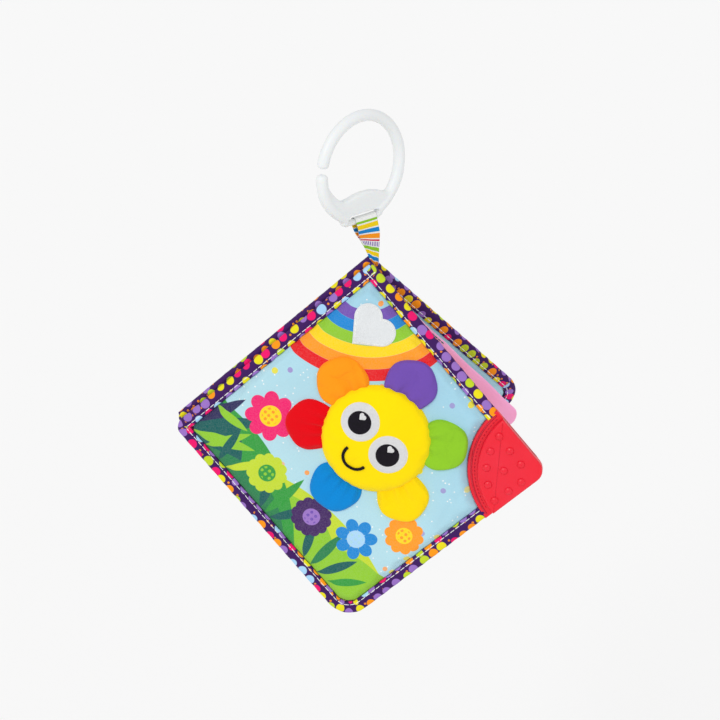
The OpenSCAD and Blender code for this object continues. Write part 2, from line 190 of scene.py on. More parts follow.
class Value:
    """A number or colour socket that can stand in a Python expression."""

    def __init__(self, paint: "Paint", socket: bpy.types.NodeSocket) -> None:
        """Keeps the paint and its output socket."""
        self.paint = paint
        self.socket = socket

    def maths(self, operation: str, *others: "Value | float") -> "Value":
        """Adds a Math node whose first input is this value."""
        inputs = dict(enumerate((self, *others)))
        return self.paint.add("ShaderNodeMath", {"operation": operation}, inputs)[0]

    def __add__(self, other: "Value | float") -> "Value":
        """Adds."""
        return self.maths("ADD", other)

    __radd__ = __add__

    def __sub__(self, other: "Value | float") -> "Value":
        """Takes the other away."""
        return self.maths("SUBTRACT", other)

    def __rsub__(self, other: float) -> "Value":
        """Takes this away from a number."""
        return self * -1.0 + other

    def __mul__(self, other: "Value | float") -> "Value":
        """Multiplies."""
        return self.maths("MULTIPLY", other)

    __rmul__ = __mul__

    def __truediv__(self, other: "Value | float") -> "Value":
        """Divides."""
        return self.maths("DIVIDE", other)

    def __lt__(self, other: "Value | float") -> "Value":
        """Gives 1 where this is less than the other."""
        return self.maths("LESS_THAN", other)

    def __gt__(self, other: "Value | float") -> "Value":
        """Gives 1 where this is more than the other."""
        return self.maths("GREATER_THAN", other)

    def least(self, other: "Value | float") -> "Value":
        """Gives the lesser of the two."""
        return self.maths("MINIMUM", other)

    def most(self, other: "Value | float") -> "Value":
        """Gives the greater of the two."""
        return self.maths("MAXIMUM", other)

    def fade(self, start: float, stop: float) -> "Value":
        """Goes smoothly from 0 at start to 1 at stop."""
        settings = {"interpolation_type": "SMOOTHSTEP"}
        inputs = {"Value": self, "From Min": start, "From Max": stop}
        return self.paint.add("ShaderNodeMapRange", settings, inputs)[0]


class Paint:
    """A procedural material in the making."""

    def __init__(self, name: str) -> None:
        """Starts a material with an empty tree."""
        self.material = bpy.data.materials.new(name)
        self.material.use_nodes = True
        self.tree = self.material.node_tree
        self.tree.nodes.clear()

    def add(self, kind: str, settings: dict | None = None, inputs: dict | None = None) -> list[Value]:
        """Adds a node.

        Args:
            kind: The node's type.
            settings: Its own settings, and the stops of a ramp as (place, colour) pairs.
            inputs: The values or links of its sockets.

        Returns:
            The node's outputs.
        """
        node = self.tree.nodes.new(kind)
        for key, value in (settings or {}).items():
            if key == "stops":
                ramp = node.color_ramp.elements
                while len(ramp) < len(value):
                    ramp.new(1.0)
                for element, (at, colour) in zip(ramp, value):
                    element.position, element.color = at, colour
            elif key == "steps":
                node.color_ramp.interpolation = value
            else:
                setattr(node, key, value)
        for key, value in (inputs or {}).items():
            if isinstance(value, Value):
                self.tree.links.new(value.socket, node.inputs[key])
            else:
                node.inputs[key].default_value = value
        return [Value(self, socket) for socket in node.outputs]

    def blend(self, mask: "Value | float", under: "Value | tuple", over: "Value | tuple") -> Value:
        """Lays one colour over another where the mask is 1."""
        settings = {"data_type": "RGBA"}
        return self.add("ShaderNodeMix", settings, {0: mask, 6: under, 7: over})[2]

    def shade(self, colour: "Value | tuple", factor: Value) -> Value:
        """Multiplies a colour by a number that varies."""
        settings = {"operation": "SCALE"}
        return self.add("ShaderNodeVectorMath", settings, {0: colour, 3: factor})[0]

    def position(self) -> Value:
        """Gives the Object coordinates."""
        return self.add("ShaderNodeTexCoord")[3]

    def along(self, place: Place) -> tuple[Value, Value]:
        """Gives a point's two distances in a place, in millimetres."""
        spot = self.position()
        found = []
        for axis in (place.x, place.y):
            settings = {"operation": "DOT_PRODUCT"}
            dot = self.add("ShaderNodeVectorMath", settings, {0: spot, 1: axis})[1]
            found.append(dot * 1000.0 - place.origin.dot(axis))
        return found[0], found[1]

    def unwrapped(self) -> tuple[Value, Value]:
        """Gives the two distances of the piece's own UV map, in millimetres."""
        parts = self.add("ShaderNodeSeparateXYZ", None, {0: self.add("ShaderNodeUVMap")[0]})
        return parts[0] * MAP_UNIT, parts[1] * MAP_UNIT

    def noise(self, scale: float, detail: float = 3.0) -> Value:
        """Gives a noise on Object coordinates, about 0.5 on average."""
        inputs = {"Vector": self.position(), "Scale": scale, "Detail": detail}
        return self.add("ShaderNodeTexNoise", None, inputs)[0]

    def vector(self, x: "Value | float", y: "Value | float") -> Value:
        """Puts two values into a flat vector."""
        return self.add("ShaderNodeCombineXYZ", None, {0: x, 1: y, 2: 0.0})[0]

    def ramp(self, value: Value, stops: Sequence[tuple[float, Hue]]) -> Value:
        """Gives the colour of the band in which a value lies."""
        settings = {"stops": [(at, hue.linear) for at, hue in stops], "steps": "CONSTANT"}
        return self.add("ShaderNodeValToRGB", settings, {0: value})[0]


@dataclass(frozen=True)
class Finish:
    """How a surface answers the light, apart from its colour."""

    roughness: float = 0.85
    variation: float = 0.06
    weave: float = 0.5
    bump: float = 0.35
    crease: float = 90.0
    crease_depth: float = 0.6
    specular: float = 0.13
    sheen: float = 0.1
    softness: float = 0.0


CLOTH = Finish()
PRINTED = Finish(roughness=0.78, variation=0.045, crease=70.0, crease_depth=0.55, sheen=0.05)
BINDING_CLOTH = Finish(roughness=0.7, variation=0.08, crease=160.0, crease_depth=0.4, sheen=0.06)
VELOUR = Finish(
    roughness=0.92, variation=0.035, weave=0.35, bump=0.3, crease=60.0, crease_depth=0.35, sheen=0.12
)
SATIN = Finish(roughness=0.42, variation=0.05, weave=0.3, bump=0.2, crease=75.0, crease_depth=0.9, specular=0.5)
THREAD = Finish(
    roughness=0.6, variation=0.1, weave=0.35, bump=0.6, crease=500.0, crease_depth=0.3, specular=0.2, sheen=0.04
)
FUZZ = Finish(roughness=0.95, variation=0.09, weave=0.9, bump=0.9, crease=420.0, crease_depth=0.7, sheen=0.5)
PLASTIC = Finish(
    roughness=0.42, variation=0.018, weave=0.0, bump=0.1, crease=240.0, crease_depth=0.12,
    specular=0.4, sheen=0.0, softness=0.12,
)
RUBBER = Finish(
    roughness=0.36, variation=0.04, weave=0.0, bump=0.14, crease=320.0, crease_depth=0.15,
    specular=0.45, sheen=0.0, softness=0.1,
)


def dress(paint: Paint, colour: Value, finish: Finish, lift: Value | None = None) -> bpy.types.Material:
    """Finishes a material with varied colour, weave, creases and gloss.

    Args:
        paint: The material in the making.
        colour: Its plain colour.
        finish: How it answers the light.
        lift: A further height for the bump, from 0 to 1.

    Returns:
        The finished material.
    """
    broad = paint.noise(38.0, 4.0)
    fine = paint.noise(900.0, 2.0)
    tone = (broad - 0.5) * (2.4 * finish.variation) + (fine - 0.5) * finish.variation + 0.96
    height = paint.noise(finish.crease, 3.0) * finish.crease_depth
    if finish.weave:
        parts = paint.add("ShaderNodeSeparateXYZ", None, {0: paint.position()})
        across = (parts[0] + parts[1]) * (2.0 * math.pi / (WEAVE_PITCH * MM))
        down = (parts[2] - parts[1]) * (2.0 * math.pi / (WEAVE_PITCH * MM))
        height = height + across.maths("SINE") * down.maths("SINE") * (finish.weave * 0.09)
    height = height + fine * (0.12 * finish.bump)
    if lift is not None:
        height = height + lift
    normal = paint.add("ShaderNodeBump", None, {"Strength": finish.bump, "Distance": MM, "Height": height})[0]
    rough = (broad - 0.5) * 0.16 + (fine - 0.5) * 0.1 + finish.roughness
    shader = paint.add("ShaderNodeBsdfPrincipled", {"subsurface_method": "RANDOM_WALK"}, {
        "Base Color": paint.shade(colour, tone), "Roughness": rough, "Normal": normal,
        "Specular IOR Level": finish.specular, "Sheen Weight": finish.sheen, "Sheen Roughness": 0.45,
        "Subsurface Weight": finish.softness, "Subsurface Radius": (0.004, 0.003, 0.002),
        "Subsurface Scale": 1.0,
    })[0]
    paint.add("ShaderNodeOutputMaterial", None, {0: shader})
    return paint.material


def plain(name: str, hue: Hue, finish: Finish, deep: Hue | None = None) -> bpy.types.Material:
    """Makes a material of one dye, which varies a little as real cloth and rubber do.

    Args:
        name: The material's name.
        hue: Its colour.
        finish: How it answers the light.
        deep: The colour that it leans to in its deeper places.

    Returns:
        The finished material.
    """
    paint = Paint(name)
    share = paint.noise(24.0, 3.0).fade(0.45, 0.8) * (0.28 if deep else 0.05)
    return dress(paint, paint.blend(share, hue.linear, (deep or hue).linear), finish)


# ---- The cover's picture, the binding's print and the ribbon's stripes ----


@dataclass
class Picture:
    """A plain garden under a rainbow corner, laid out in the cover's millimetres."""

    paint: Paint
    u: Value = field(init=False)
    v: Value = field(init=False)
    colour: Value = field(init=False)
    soft: float = 0.22

    def disc(self, u: float, v: float, r: float) -> Value:
        """Gives the mask of a disc."""
        return 1.0 - self.distance(u, v).fade(r - self.soft, r + self.soft)

    def distance(self, u: float, v: float) -> Value:
        """Gives the distance from a point of the cover."""
        gap = self.paint.vector(self.u - u, self.v - v)
        return self.paint.add("ShaderNodeVectorMath", {"operation": "LENGTH"}, {0: gap})[1]

    def lay(self, mask: Value, hue: Hue) -> None:
        """Lays a colour over the picture where the mask is 1."""
        self.colour = self.paint.blend(mask, self.colour, hue.linear)

    def leaf(self, u: float, v: float, angle: float, length: float, wide: float, hue: Hue) -> None:
        """Lays a pointed leaf, the overlap of two discs, from its foot at an angle."""
        r = (length * length / 4 + wide * wide / 4) / wide
        a = math.radians(angle)
        mid_u, mid_v = u + math.cos(a) * length / 2, v + math.sin(a) * length / 2
        side_u, side_v = -math.sin(a) * (r - wide / 2), math.cos(a) * (r - wide / 2)
        first = self.disc(mid_u + side_u, mid_v + side_v, r)
        self.lay(first.least(self.disc(mid_u - side_u, mid_v - side_v, r)), hue)

    def daisy(self, u: float, v: float, size: float, petals: int, hues: tuple[Hue, Hue, Hue]) -> None:
        """Lays a plain daisy of round petals, with a dotted centre."""
        x, y = self.u - u, self.v - v
        turn = y.maths("ARCTAN2", x) * (petals / (2 * math.pi)) + 0.5
        folded = (turn.maths("FRACT") - 0.5) * (2 * math.pi / petals)
        r = self.distance(u, v)
        reach = size * 0.66
        petal = self.paint.vector(r * folded.maths("COSINE") - reach, r * folded.maths("SINE") * 1.15)
        width = self.paint.add("ShaderNodeVectorMath", {"operation": "LENGTH"}, {0: petal})[1]
        self.lay(1.0 - width.fade(size * 0.33 - self.soft, size * 0.33 + self.soft), hues[0])
        self.lay(self.disc(u, v, size * 0.42), hues[1])
        spots = self.cells(3.2, 0.15)
        self.lay(self.disc(u, v, size * 0.34) * (spots[0] < 0.3), hues[2])

    def cells(self, pitch: float, randomness: float) -> list[Value]:
        """Gives a cell pattern's distance, and its colour as three random numbers."""
        spot = self.paint.vector(self.u / pitch, self.v / pitch)
        inputs = {"Vector": spot, "Scale": 1.0, "Randomness": randomness}
        out = self.paint.add("ShaderNodeTexVoronoi", {"voronoi_dimensions": "2D"}, inputs)
        return [out[0], *self.paint.add("ShaderNodeSeparateXYZ", None, {0: out[1]})]

    def sprinkle(self, pitch: float, share: float, size: float, hue: Hue, salt: float) -> None:
        """Lays scattered dots on the sky."""
        far, pick, tone, _ = self.cells(pitch, 0.95)
        mask = (far < size) * (pick < share + salt) * (pick > salt)
        self.lay(mask * (tone * 0.4 + 0.6), hue)

    def paint_cover(self) -> Value:
        """Paints the front cover.

        Returns:
            The picture's colour.
        """
        self.u, self.v = self.paint.along(PLACES["front"])
        haze = self.v.fade(30.0, 150.0)
        self.colour = self.paint.blend(haze, (0.46, 0.72, 0.80, 1.0), (0.36, 0.64, 0.78, 1.0))
        for sprinkle in SPRINKLES:
            self.sprinkle(*sprinkle)
        corner = self.distance(0.0, COVER_H)
        for i, hue in enumerate(RAINBOW):
            inner = RAINBOW_R + BAND_W * i
            outer = inner + BAND_W
            rise = corner.fade(inner - BAND_SOFT, inner + BAND_SOFT)
            self.lay(rise - corner.fade(outer - BAND_SOFT, outer + BAND_SOFT), hue)
        for u, v, r, hue in HILLS:
            self.lay(self.disc(u, v, r), hue)
        for leaf in LEAVES:
            self.leaf(*leaf)
        for daisy in DAISIES:
            self.daisy(*daisy)
        ink = self.paint.noise(1400.0, 1.0)
        return self.paint.blend((ink - 0.5) * 0.12 + 0.03, self.colour, Hue.WHITE.linear)

    def paint_dots(
        self, hues: Sequence[tuple[float, Hue]], ground: Hue, pitch: float, least: float
    ) -> Value:
        """Paints scattered round dots on a plain ground.

        Args:
            hues: The dots' colours, each from a share of the cells.
            ground: The colour between the dots.
            pitch: The distance between dots.
            least: The smallest dot's radius, as a share of the pitch.

        Returns:
            The print's colour.
        """
        far, pick, size, tone = self.cells(pitch, 0.42)
        edge = far - (size * 0.1 + least)
        colour = self.paint.blend(edge.fade(0.03, -0.03), ground.linear, self.paint.ramp(pick, hues))
        glint = self.cells(pitch * 0.5, 1.0)
        speck = (glint[0] < 0.2) * (glint[2] > 0.7) * edge.fade(0.02, 0.06)
        return self.paint.blend(speck * (tone * 0.3 + 0.7), colour, Hue.ORANGE.linear)


SPRINKLES = (
    (1.9, 0.05, 0.24, Hue.WHITE, 0.3), (12.5, 0.2, 0.15, Hue.LEMON, 0.0),
    (12.5, 0.2, 0.13, Hue.LILAC, 0.45), (12.5, 0.12, 0.12, Hue.ORANGE, 0.75),
)
RAINBOW = (Hue.PURPLE, Hue.BLUE, Hue.GREEN, Hue.YELLOW, Hue.ORANGE, Hue.RED)
HILLS = (
    (115.0, 42.4 - 128.0, 128.0, Hue.LIME), (150.0, -20.0, 58.0, Hue.GREEN), (96.0, -6.0, 40.0, Hue.GREEN),
    (32.0, 38.6 - 99.0, 99.0, Hue.MEADOW), (14.0, -2.0, 36.0, Hue.TEAL), (58.0, -30.0, 52.0, Hue.MOSS),
)
DAISIES = (
    (33.0, 52.0, 15.5, 8, (Hue.MAGENTA, Hue.YELLOW, Hue.ORANGE)),
    (58.0, 27.0, 12.5, 11, (Hue.LIME, Hue.MEADOW, Hue.GREEN)),
    (95.0, 30.0, 12.5, 12, (Hue.PLUM, Hue.LILAC, Hue.PURPLE)),
    (122.0, 42.0, 13.0, 7, (Hue.BLUE, Hue.MIST, Hue.SKY)),
    (138.0, 66.0, 12.0, 10, (Hue.ORANGE, Hue.YELLOW, Hue.ORANGE)),
)
LEAVES = (
    (8.0, 8.0, 78.0, 40.0, 7.0, Hue.NAVY), (8.0, 10.0, 55.0, 46.0, 8.0, Hue.TEAL),
    (10.0, 8.0, 34.0, 40.0, 7.0, Hue.GREEN), (22.0, 8.0, 66.0, 30.0, 5.5, Hue.GREEN),
    (34.0, 8.0, 104.0, 26.0, 5.0, Hue.TEAL), (40.0, 8.0, 60.0, 26.0, 5.0, Hue.LIME),
    (72.0, 8.0, 118.0, 28.0, 6.0, Hue.TEAL), (76.0, 8.0, 92.0, 34.0, 6.0, Hue.MEADOW),
    (80.0, 8.0, 66.0, 28.0, 5.5, Hue.TEAL), (112.0, 8.0, 122.0, 26.0, 5.5, Hue.TEAL),
    (118.0, 8.0, 96.0, 30.0, 6.0, Hue.MOSS), (124.0, 8.0, 70.0, 27.0, 5.5, Hue.TEAL),
    (132.0, 10.0, 52.0, 24.0, 5.0, Hue.MEADOW), (8.0, 30.0, 12.0, 24.0, 5.0, Hue.GREEN),
)
BINDING_HUES = (
    (0.0, Hue.LILAC), (0.3, Hue.LEMON), (0.48, Hue.ORANGE),
    (0.62, Hue.LIME), (0.76, Hue.MAGENTA), (0.93, Hue.MIST),
)
STRIPES = (
    (0.0, Hue.WHITE), (3.6, Hue.GREEN), (5.0, Hue.WHITE), (5.9, Hue.YELLOW), (8.6, Hue.WHITE),
    (9.3, Hue.BLUE), (11.8, Hue.WHITE), (12.6, Hue.ORANGE), (15.2, Hue.WHITE), (15.9, Hue.CRIMSON),
    (16.9, Hue.WHITE), (20.8, Hue.GREEN), (23.2, Hue.WHITE), (23.9, Hue.YELLOW), (26.5, Hue.WHITE),
    (27.1, Hue.BLUE), (29.8, Hue.WHITE), (30.2, Hue.ORANGE), (34.0, Hue.WHITE),
)


def picture_cloth() -> bpy.types.Material:
    """Makes the front cover's printed cloth."""
    paint = Paint("front_picture")
    return dress(paint, Picture(paint).paint_cover(), PRINTED)


def binding_cloth() -> bpy.types.Material:
    """Makes the dotted cloth of the bindings and the spine, on their own maps."""
    paint = Paint("binding_print")
    print_of = Picture(paint)
    print_of.u, print_of.v = paint.unwrapped()
    return dress(paint, print_of.paint_dots(BINDING_HUES, Hue.PLUM, 7.2, 0.33), BINDING_CLOTH)


def back_cloth() -> bpy.types.Material:
    """Makes the plain dotted cloth of the back cover's outer face."""
    paint = Paint("back_print")
    print_of = Picture(paint)
    print_of.u, print_of.v = paint.along(PLACES["back"])
    hues = ((0.0, Hue.YELLOW), (0.45, Hue.WHITE), (0.8, Hue.ORANGE))
    return dress(paint, print_of.paint_dots(hues, Hue.AMBER, 17.0, 0.1), PRINTED)


def ribbon_cloth() -> bpy.types.Material:
    """Makes the striped ribbon, whose map runs along it from the rail."""
    paint = Paint("ribbon_stripes")
    across, down = paint.unwrapped()
    length = down.maths("ABSOLUTE")
    colour = paint.ramp(length / STRIPE_RUN, [(at / STRIPE_RUN, hue) for at, hue in STRIPES])
    dash = ((across / 1.6).maths("FRACT") < 0.5) * (length > 17.4) * (length < 20.2)
    colour = paint.blend(dash, colour, Hue.PURPLE.linear)
    ribs = (length * (2 * math.pi / 0.75)).maths("SINE") * 0.16
    return dress(paint, colour, Finish(roughness=0.72, variation=0.12, bump=0.5, crease=260.0), ribs)


# ---- Modelling tools ----


def clear_selection() -> None:
    """Leaves edit mode and deselects everything."""
    if bpy.context.object and bpy.context.object.mode != "OBJECT":
        bpy.ops.object.mode_set(mode="OBJECT")
    bpy.ops.object.select_all(action="DESELECT")


def activate(*objects: bpy.types.Object) -> None:
    """Selects some objects alone, the first of them active."""
    clear_selection()
    for each in objects:
        each.select_set(True)
    bpy.context.view_layer.objects.active = objects[0]


def pick_faces(test: Callable[[bmesh.types.BMFace], bool]) -> None:
    """Selects the faces of the mesh in edit mode that pass a test."""
    pick("faces", "FACE", test)


def pick_edges(test: Callable[[bmesh.types.BMEdge], bool]) -> None:
    """Selects the edges of the mesh in edit mode that pass a test."""
    pick("edges", "EDGE", test)


def pick(parts: str, mode: str, test: Callable) -> None:
    """Selects parts of the mesh in edit mode that pass a test.

    Args:
        parts: The list of the mesh that is tested.
        mode: The selection mode that goes with it.
        test: Says whether a part is selected.
    """
    bpy.ops.mesh.select_mode(type=mode)
    bpy.ops.mesh.select_all(action="DESELECT")
    mesh = bmesh.from_edit_mesh(bpy.context.object.data)
    for each in getattr(mesh, parts):
        if test(each):
            each.select_set(True)
    mesh.select_flush_mode()
    bmesh.update_edit_mesh(bpy.context.object.data)


def apply_modifier(obj: bpy.types.Object, kind: str, **settings: object) -> None:
    """Adds a modifier, sets it up and applies it."""
    activate(obj)
    modifier = obj.modifiers.new(kind.lower(), kind)
    for key, value in settings.items():
        setattr(modifier, key, value)
    bpy.ops.object.modifier_apply(modifier=modifier.name)


def subdivide(obj: bpy.types.Object, levels: int = 1) -> None:
    """Rounds a mesh by subdivision."""
    apply_modifier(obj, "SUBSURF", levels=levels, render_levels=levels)


def face_outwards(obj: bpy.types.Object, merge: bool = False) -> None:
    """Turns every face of a mesh outwards, and merges its doubles first where merge is set."""
    activate(obj)
    bpy.ops.object.mode_set(mode="EDIT")
    bpy.ops.mesh.select_all(action="SELECT")
    if merge:
        bpy.ops.mesh.remove_doubles(threshold=MERGE_WITHIN * MM)
    bpy.ops.mesh.normals_make_consistent(inside=False)
    bpy.ops.object.mode_set(mode="OBJECT")


def join(name: str, parts: Sequence[bpy.types.Object]) -> bpy.types.Object:
    """Joins objects into one under a new name."""
    activate(*parts)
    if len(parts) > 1:
        bpy.ops.object.join()
    joined = bpy.context.object
    joined.name = joined.data.name = name
    return joined


def settle(obj: bpy.types.Object, place: Place | None, *materials: bpy.types.Material) -> bpy.types.Object:
    """Moves a finished mesh to its place, smooths its shading and gives it its materials.

    Args:
        obj: The piece.
        place: The frame in which it was made, or None where it is in place already.
        materials: Its materials.

    Returns:
        The piece.
    """
    activate(obj)
    bpy.ops.object.transform_apply(location=True, rotation=True, scale=True)
    if place:
        obj.data.transform(place.matrix())
    face_outwards(obj)
    bpy.ops.object.shade_smooth_by_angle(angle=math.radians(50))
    return coat(obj, *materials)


def coat(obj: bpy.types.Object, *materials: bpy.types.Material) -> bpy.types.Object:
    """Gives a piece its materials."""
    obj.data.materials.clear()
    for material in materials:
        obj.data.materials.append(material)
    return obj


def mesh_object(name: str, points: Sequence[Vector], faces: Sequence[Sequence[int]]) -> bpy.types.Object:
    """Makes an object of points in metres and faces."""
    mesh = bpy.data.meshes.new(name)
    mesh.from_pydata([tuple(p) for p in points], [], [tuple(f) for f in faces])
    mesh.validate()
    obj = bpy.data.objects.new(name, mesh)
    bpy.context.scene.collection.objects.link(obj)
    return obj


def strip_faces(rows: int, columns: int) -> list[tuple[int, int, int, int]]:
    """Gives the faces of a grid whose points are laid row by row."""
    wide = columns + 1
    return [
        (r * wide + k, r * wide + k + 1, (r + 1) * wide + k + 1, (r + 1) * wide + k)
        for r in range(rows) for k in range(columns)
    ]


def write_map(obj: bpy.types.Object, spots: Sequence[tuple[float, float]]) -> None:
    """Writes a UV map from one spot a point, in millimetres."""
    layer = obj.data.uv_layers.new(name="plan")
    for loop in obj.data.loops:
        u, v = spots[loop.vertex_index]
        layer.data[loop.index].uv = (u / MAP_UNIT, v / MAP_UNIT)


def wave(x: float, y: float, seed: float) -> float:
    """Gives a smooth uneven height from -1 to 1, the same on each run."""
    total = 0.0
    for i, (turn, weight) in enumerate(((0.3, 0.42), (1.9, 0.33), (2.8, 0.25))):
        phase = seed * 1.7 + i * 2.1
        run = x * math.cos(turn + seed) + y * math.sin(turn + seed)
        total += weight * math.sin(run * (1 + 0.37 * i) + phase)
    return total


def finish_piece(
    piece: bpy.types.Object, body: Body, nodes: Sequence[str] = ()
) -> bpy.types.Object:
    """Lets a piece ride on its body and the nodes that it stands for."""
    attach(piece, body.value)
    if nodes:
        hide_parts(*nodes)
    LOG.info("%s rides on %s, %d points", piece.name, body.value, len(piece.data.vertices))
    return piece


# ---- Pads and quilted cloth ----


def rounded(
    low_u: float, low_v: float, high_u: float, high_v: float, r: float, foot_r: float = TIGHT_R
) -> Distance:
    """Gives the signed distance to a rectangle with round corners at its fore edge and its foot."""
    mid_u, mid_v = (low_u + high_u) / 2, (low_v + high_v) / 2
    half_u, half_v = (high_u - low_u) / 2, (high_v - low_v) / 2

    def far(u: float, v: float) -> float:
        round_r = r if u > mid_u else foot_r if v < mid_v else TIGHT_R
        x, y = abs(u - mid_u) - half_u + round_r, abs(v - mid_v) - half_v + round_r
        return math.hypot(max(x, 0), max(y, 0)) + min(max(x, y), 0) - round_r

    return far


def circle(u: float, v: float, r: float) -> Distance:
    """Gives the signed distance to a disc."""
    return lambda x, y: math.hypot(x - u, y - v) - r


def without(shape: Distance, hole: Distance) -> Distance:
    """Gives a shape less a hole."""
    return lambda u, v: max(shape(u, v), -hole(u, v))


def heart(u: float, v: float, size: float) -> Distance:
    """Gives the signed distance to a heart made of a turned square and two discs."""
    half = size / (1 + math.sqrt(0.5)) / 2

    def far(x: float, y: float) -> float:
        p = ((x - u) + (y - v)) / math.sqrt(2)
        q = ((y - v) - (x - u)) / math.sqrt(2)
        square = max(abs(p), abs(q)) - half
        return min(square, math.hypot(p - half, q) - half, math.hypot(p, q - half) - half)

    return far


@dataclass
class Quilt:
    """A flat closed form whose rim follows an outline, on a square or a round grid.

    A square grid covers span, and a round one spreads from the hub in rings and spokes.
    """

    name: str
    place: Place
    shape: Distance
    top: Callable[[float, float, float], float]
    under: Callable[[float, float, float], float]
    span: tuple[float, float, float, float] | None = None
    step: float = 2.0
    hub: tuple[float, float] | None = None
    rings: int = 12
    spokes: int = 72
    grid: list[tuple[float, float, float]] = field(default_factory=list)

    def snap(self, u: float, v: float) -> tuple[float, float]:
        """Moves a grid point that is near the outline onto it."""
        for _ in range(3):
            far = self.shape(u, v)
            if abs(far) > self.step * 0.8:
                break
            e = 0.05
            du = (self.shape(u + e, v) - self.shape(u - e, v)) / (2 * e)
            dv = (self.shape(u, v + e) - self.shape(u, v - e)) / (2 * e)
            norm = max(math.hypot(du, dv), 0.3)
            u, v = u - du / norm * far, v - dv / norm * far
        return u, v

    def reach(self, angle: float) -> float:
        """Gives the outline's distance from the hub in a direction."""
        low, high = 0.0, 0.5
        spot = lambda r: self.shape(self.hub[0] + r * math.cos(angle), self.hub[1] + r * math.sin(angle))
        while spot(high) < 0 and high < 100:
            low, high = high, high + 0.5
        for _ in range(12):
            middle = (low + high) / 2
            low, high = (middle, high) if spot(middle) < 0 else (low, middle)
        return low

    def round_grid(self) -> tuple[list[tuple[float, float]], list[list[int]], list[tuple[int, int]]]:
        """Lays the round grid.

        Returns:
            Its spots, its faces and its rim's edges.
        """
        spots, faces = [self.hub], []
        reaches = [self.reach(2 * math.pi * n / self.spokes) for n in range(self.spokes)]
        for k in range(1, self.rings + 1):
            share = 1 - (1 - k / self.rings) ** 1.35
            for n, far in enumerate(reaches):
                a = 2 * math.pi * n / self.spokes
                spots.append((self.hub[0] + far * share * math.cos(a), self.hub[1] + far * share * math.sin(a)))
        for n in range(self.spokes):
            m = (n + 1) % self.spokes
            faces.append([0, 1 + n, 1 + m])
            for k in range(self.rings - 1):
                here, there = 1 + k * self.spokes, 1 + (k + 1) * self.spokes
                faces.append([here + n, there + n, there + m, here + m])
        last = 1 + (self.rings - 1) * self.spokes
        return spots, faces, [(last + n, last + (n + 1) % self.spokes) for n in range(self.spokes)]

    def square_grid(self) -> tuple[list[tuple[float, float]], list[list[int]], list[tuple[int, int]]]:
        """Lays the square grid, its rim moved onto the outline.

        Returns:
            Its spots, its faces and its rim's edges.
        """
        low_u, low_v, high_u, high_v = self.span
        across = max(2, round((high_u - low_u) / self.step))
        down = max(2, round((high_v - low_v) / self.step))
        spots, inside = {}, {}
        for i in range(across + 1):
            for j in range(down + 1):
                u = low_u + (high_u - low_u) * i / across
                v = low_v + (high_v - low_v) * j / down
                inside[i, j] = self.shape(u, v) < self.step * 0.45
                if inside[i, j]:
                    spots[i, j] = self.snap(u, v) if self.shape(u, v) > -self.step * 0.5 else (u, v)
        quads = [
            ((i, j), (i + 1, j), (i + 1, j + 1), (i, j + 1))
            for i in range(across) for j in range(down)
            if all(inside[k] for k in ((i, j), (i + 1, j), (i + 1, j + 1), (i, j + 1)))
        ]
        used = sorted({k for quad in quads for k in quad})
        number = {k: n for n, k in enumerate(used)}
        faces = [[number[k] for k in quad] for quad in quads]
        edges = {(a, b) for face in faces for a, b in zip(face, face[1:] + face[:1])}
        rim = sorted((a, b) for a, b in edges if (b, a) not in edges)
        outer = {n for edge in rim for n in edge}
        return [self.snap(*spots[k]) if n in outer else spots[k] for n, k in enumerate(used)], faces, rim

    def make(self) -> bpy.types.Object:
        """Makes the mesh: an upper and an under face, joined round the rim.

        Returns:
            The closed form, its points in the row frame.
        """
        spots, upper, rim = self.round_grid() if self.hub else self.square_grid()
        self.grid = [(u, v, max(0.0, -self.shape(u, v))) for u, v in spots]
        points = [self.place.point(u, v, self.top(u, v, d)) for u, v, d in self.grid]
        points += [self.place.point(u, v, self.under(u, v, d)) for u, v, d in self.grid]
        count = len(spots)
        faces = upper + [[n + count for n in reversed(face)] for face in upper]
        faces += [[b, a, a + count, b + count] for a, b in rim]
        self.grid += self.grid
        return mesh_object(self.name, points, faces)


@dataclass
class Pad:
    """A stuffed form: a quilt that is swollen by a cloth simulation."""

    quilt: Quilt
    pressure: float = 4.0
    cap: float = 1.2
    hold: float = 1.0
    slack: float = 0.02
    under_fixed: bool = True
    frames: int = 20

    def make(self, levels: int = 1) -> bpy.types.Object:
        """Swells the form, caps how far a point may move and subdivides it.

        Args:
            levels: How many subdivisions follow.

        Returns:
            The finished pad.
        """
        obj = self.quilt.make()
        half = len(self.quilt.grid) // 2
        rest = [p.co.copy() for p in obj.data.vertices]
        group = obj.vertex_groups.new(name="held")
        for n, (_, _, d) in enumerate(self.quilt.grid):
            fixed = n >= half and self.under_fixed
            group.add([n], 1.0 if fixed else max(0.0, 1.0 - d / self.hold), "REPLACE")
        modifier = obj.modifiers.new("cloth", "CLOTH")
        settings = modifier.settings
        settings.use_pressure, settings.uniform_pressure_force = True, self.pressure
        settings.vertex_group_mass, settings.shrink_min = group.name, -self.slack
        settings.effector_weights.gravity = 0.0
        settings.quality, settings.mass = 6, 0.15
        settings.tension_stiffness = settings.compression_stiffness = 12.0
        settings.bending_stiffness = 0.25
        modifier.point_cache.frame_start, modifier.point_cache.frame_end = 1, self.frames
        for step in range(1, self.frames + 1):
            bpy.context.scene.frame_set(step)
        activate(obj)
        bpy.ops.object.modifier_apply(modifier=modifier.name)
        bpy.context.scene.frame_set(1)
        obj.vertex_groups.clear()
        limit = self.cap * MM
        for point, start in zip(obj.data.vertices, rest):
            gap = point.co - start
            if gap.length > limit:
                point.co = start + gap * (limit / gap.length)
        if levels:
            subdivide(obj, levels)
        return obj


# ---- Stitches ----


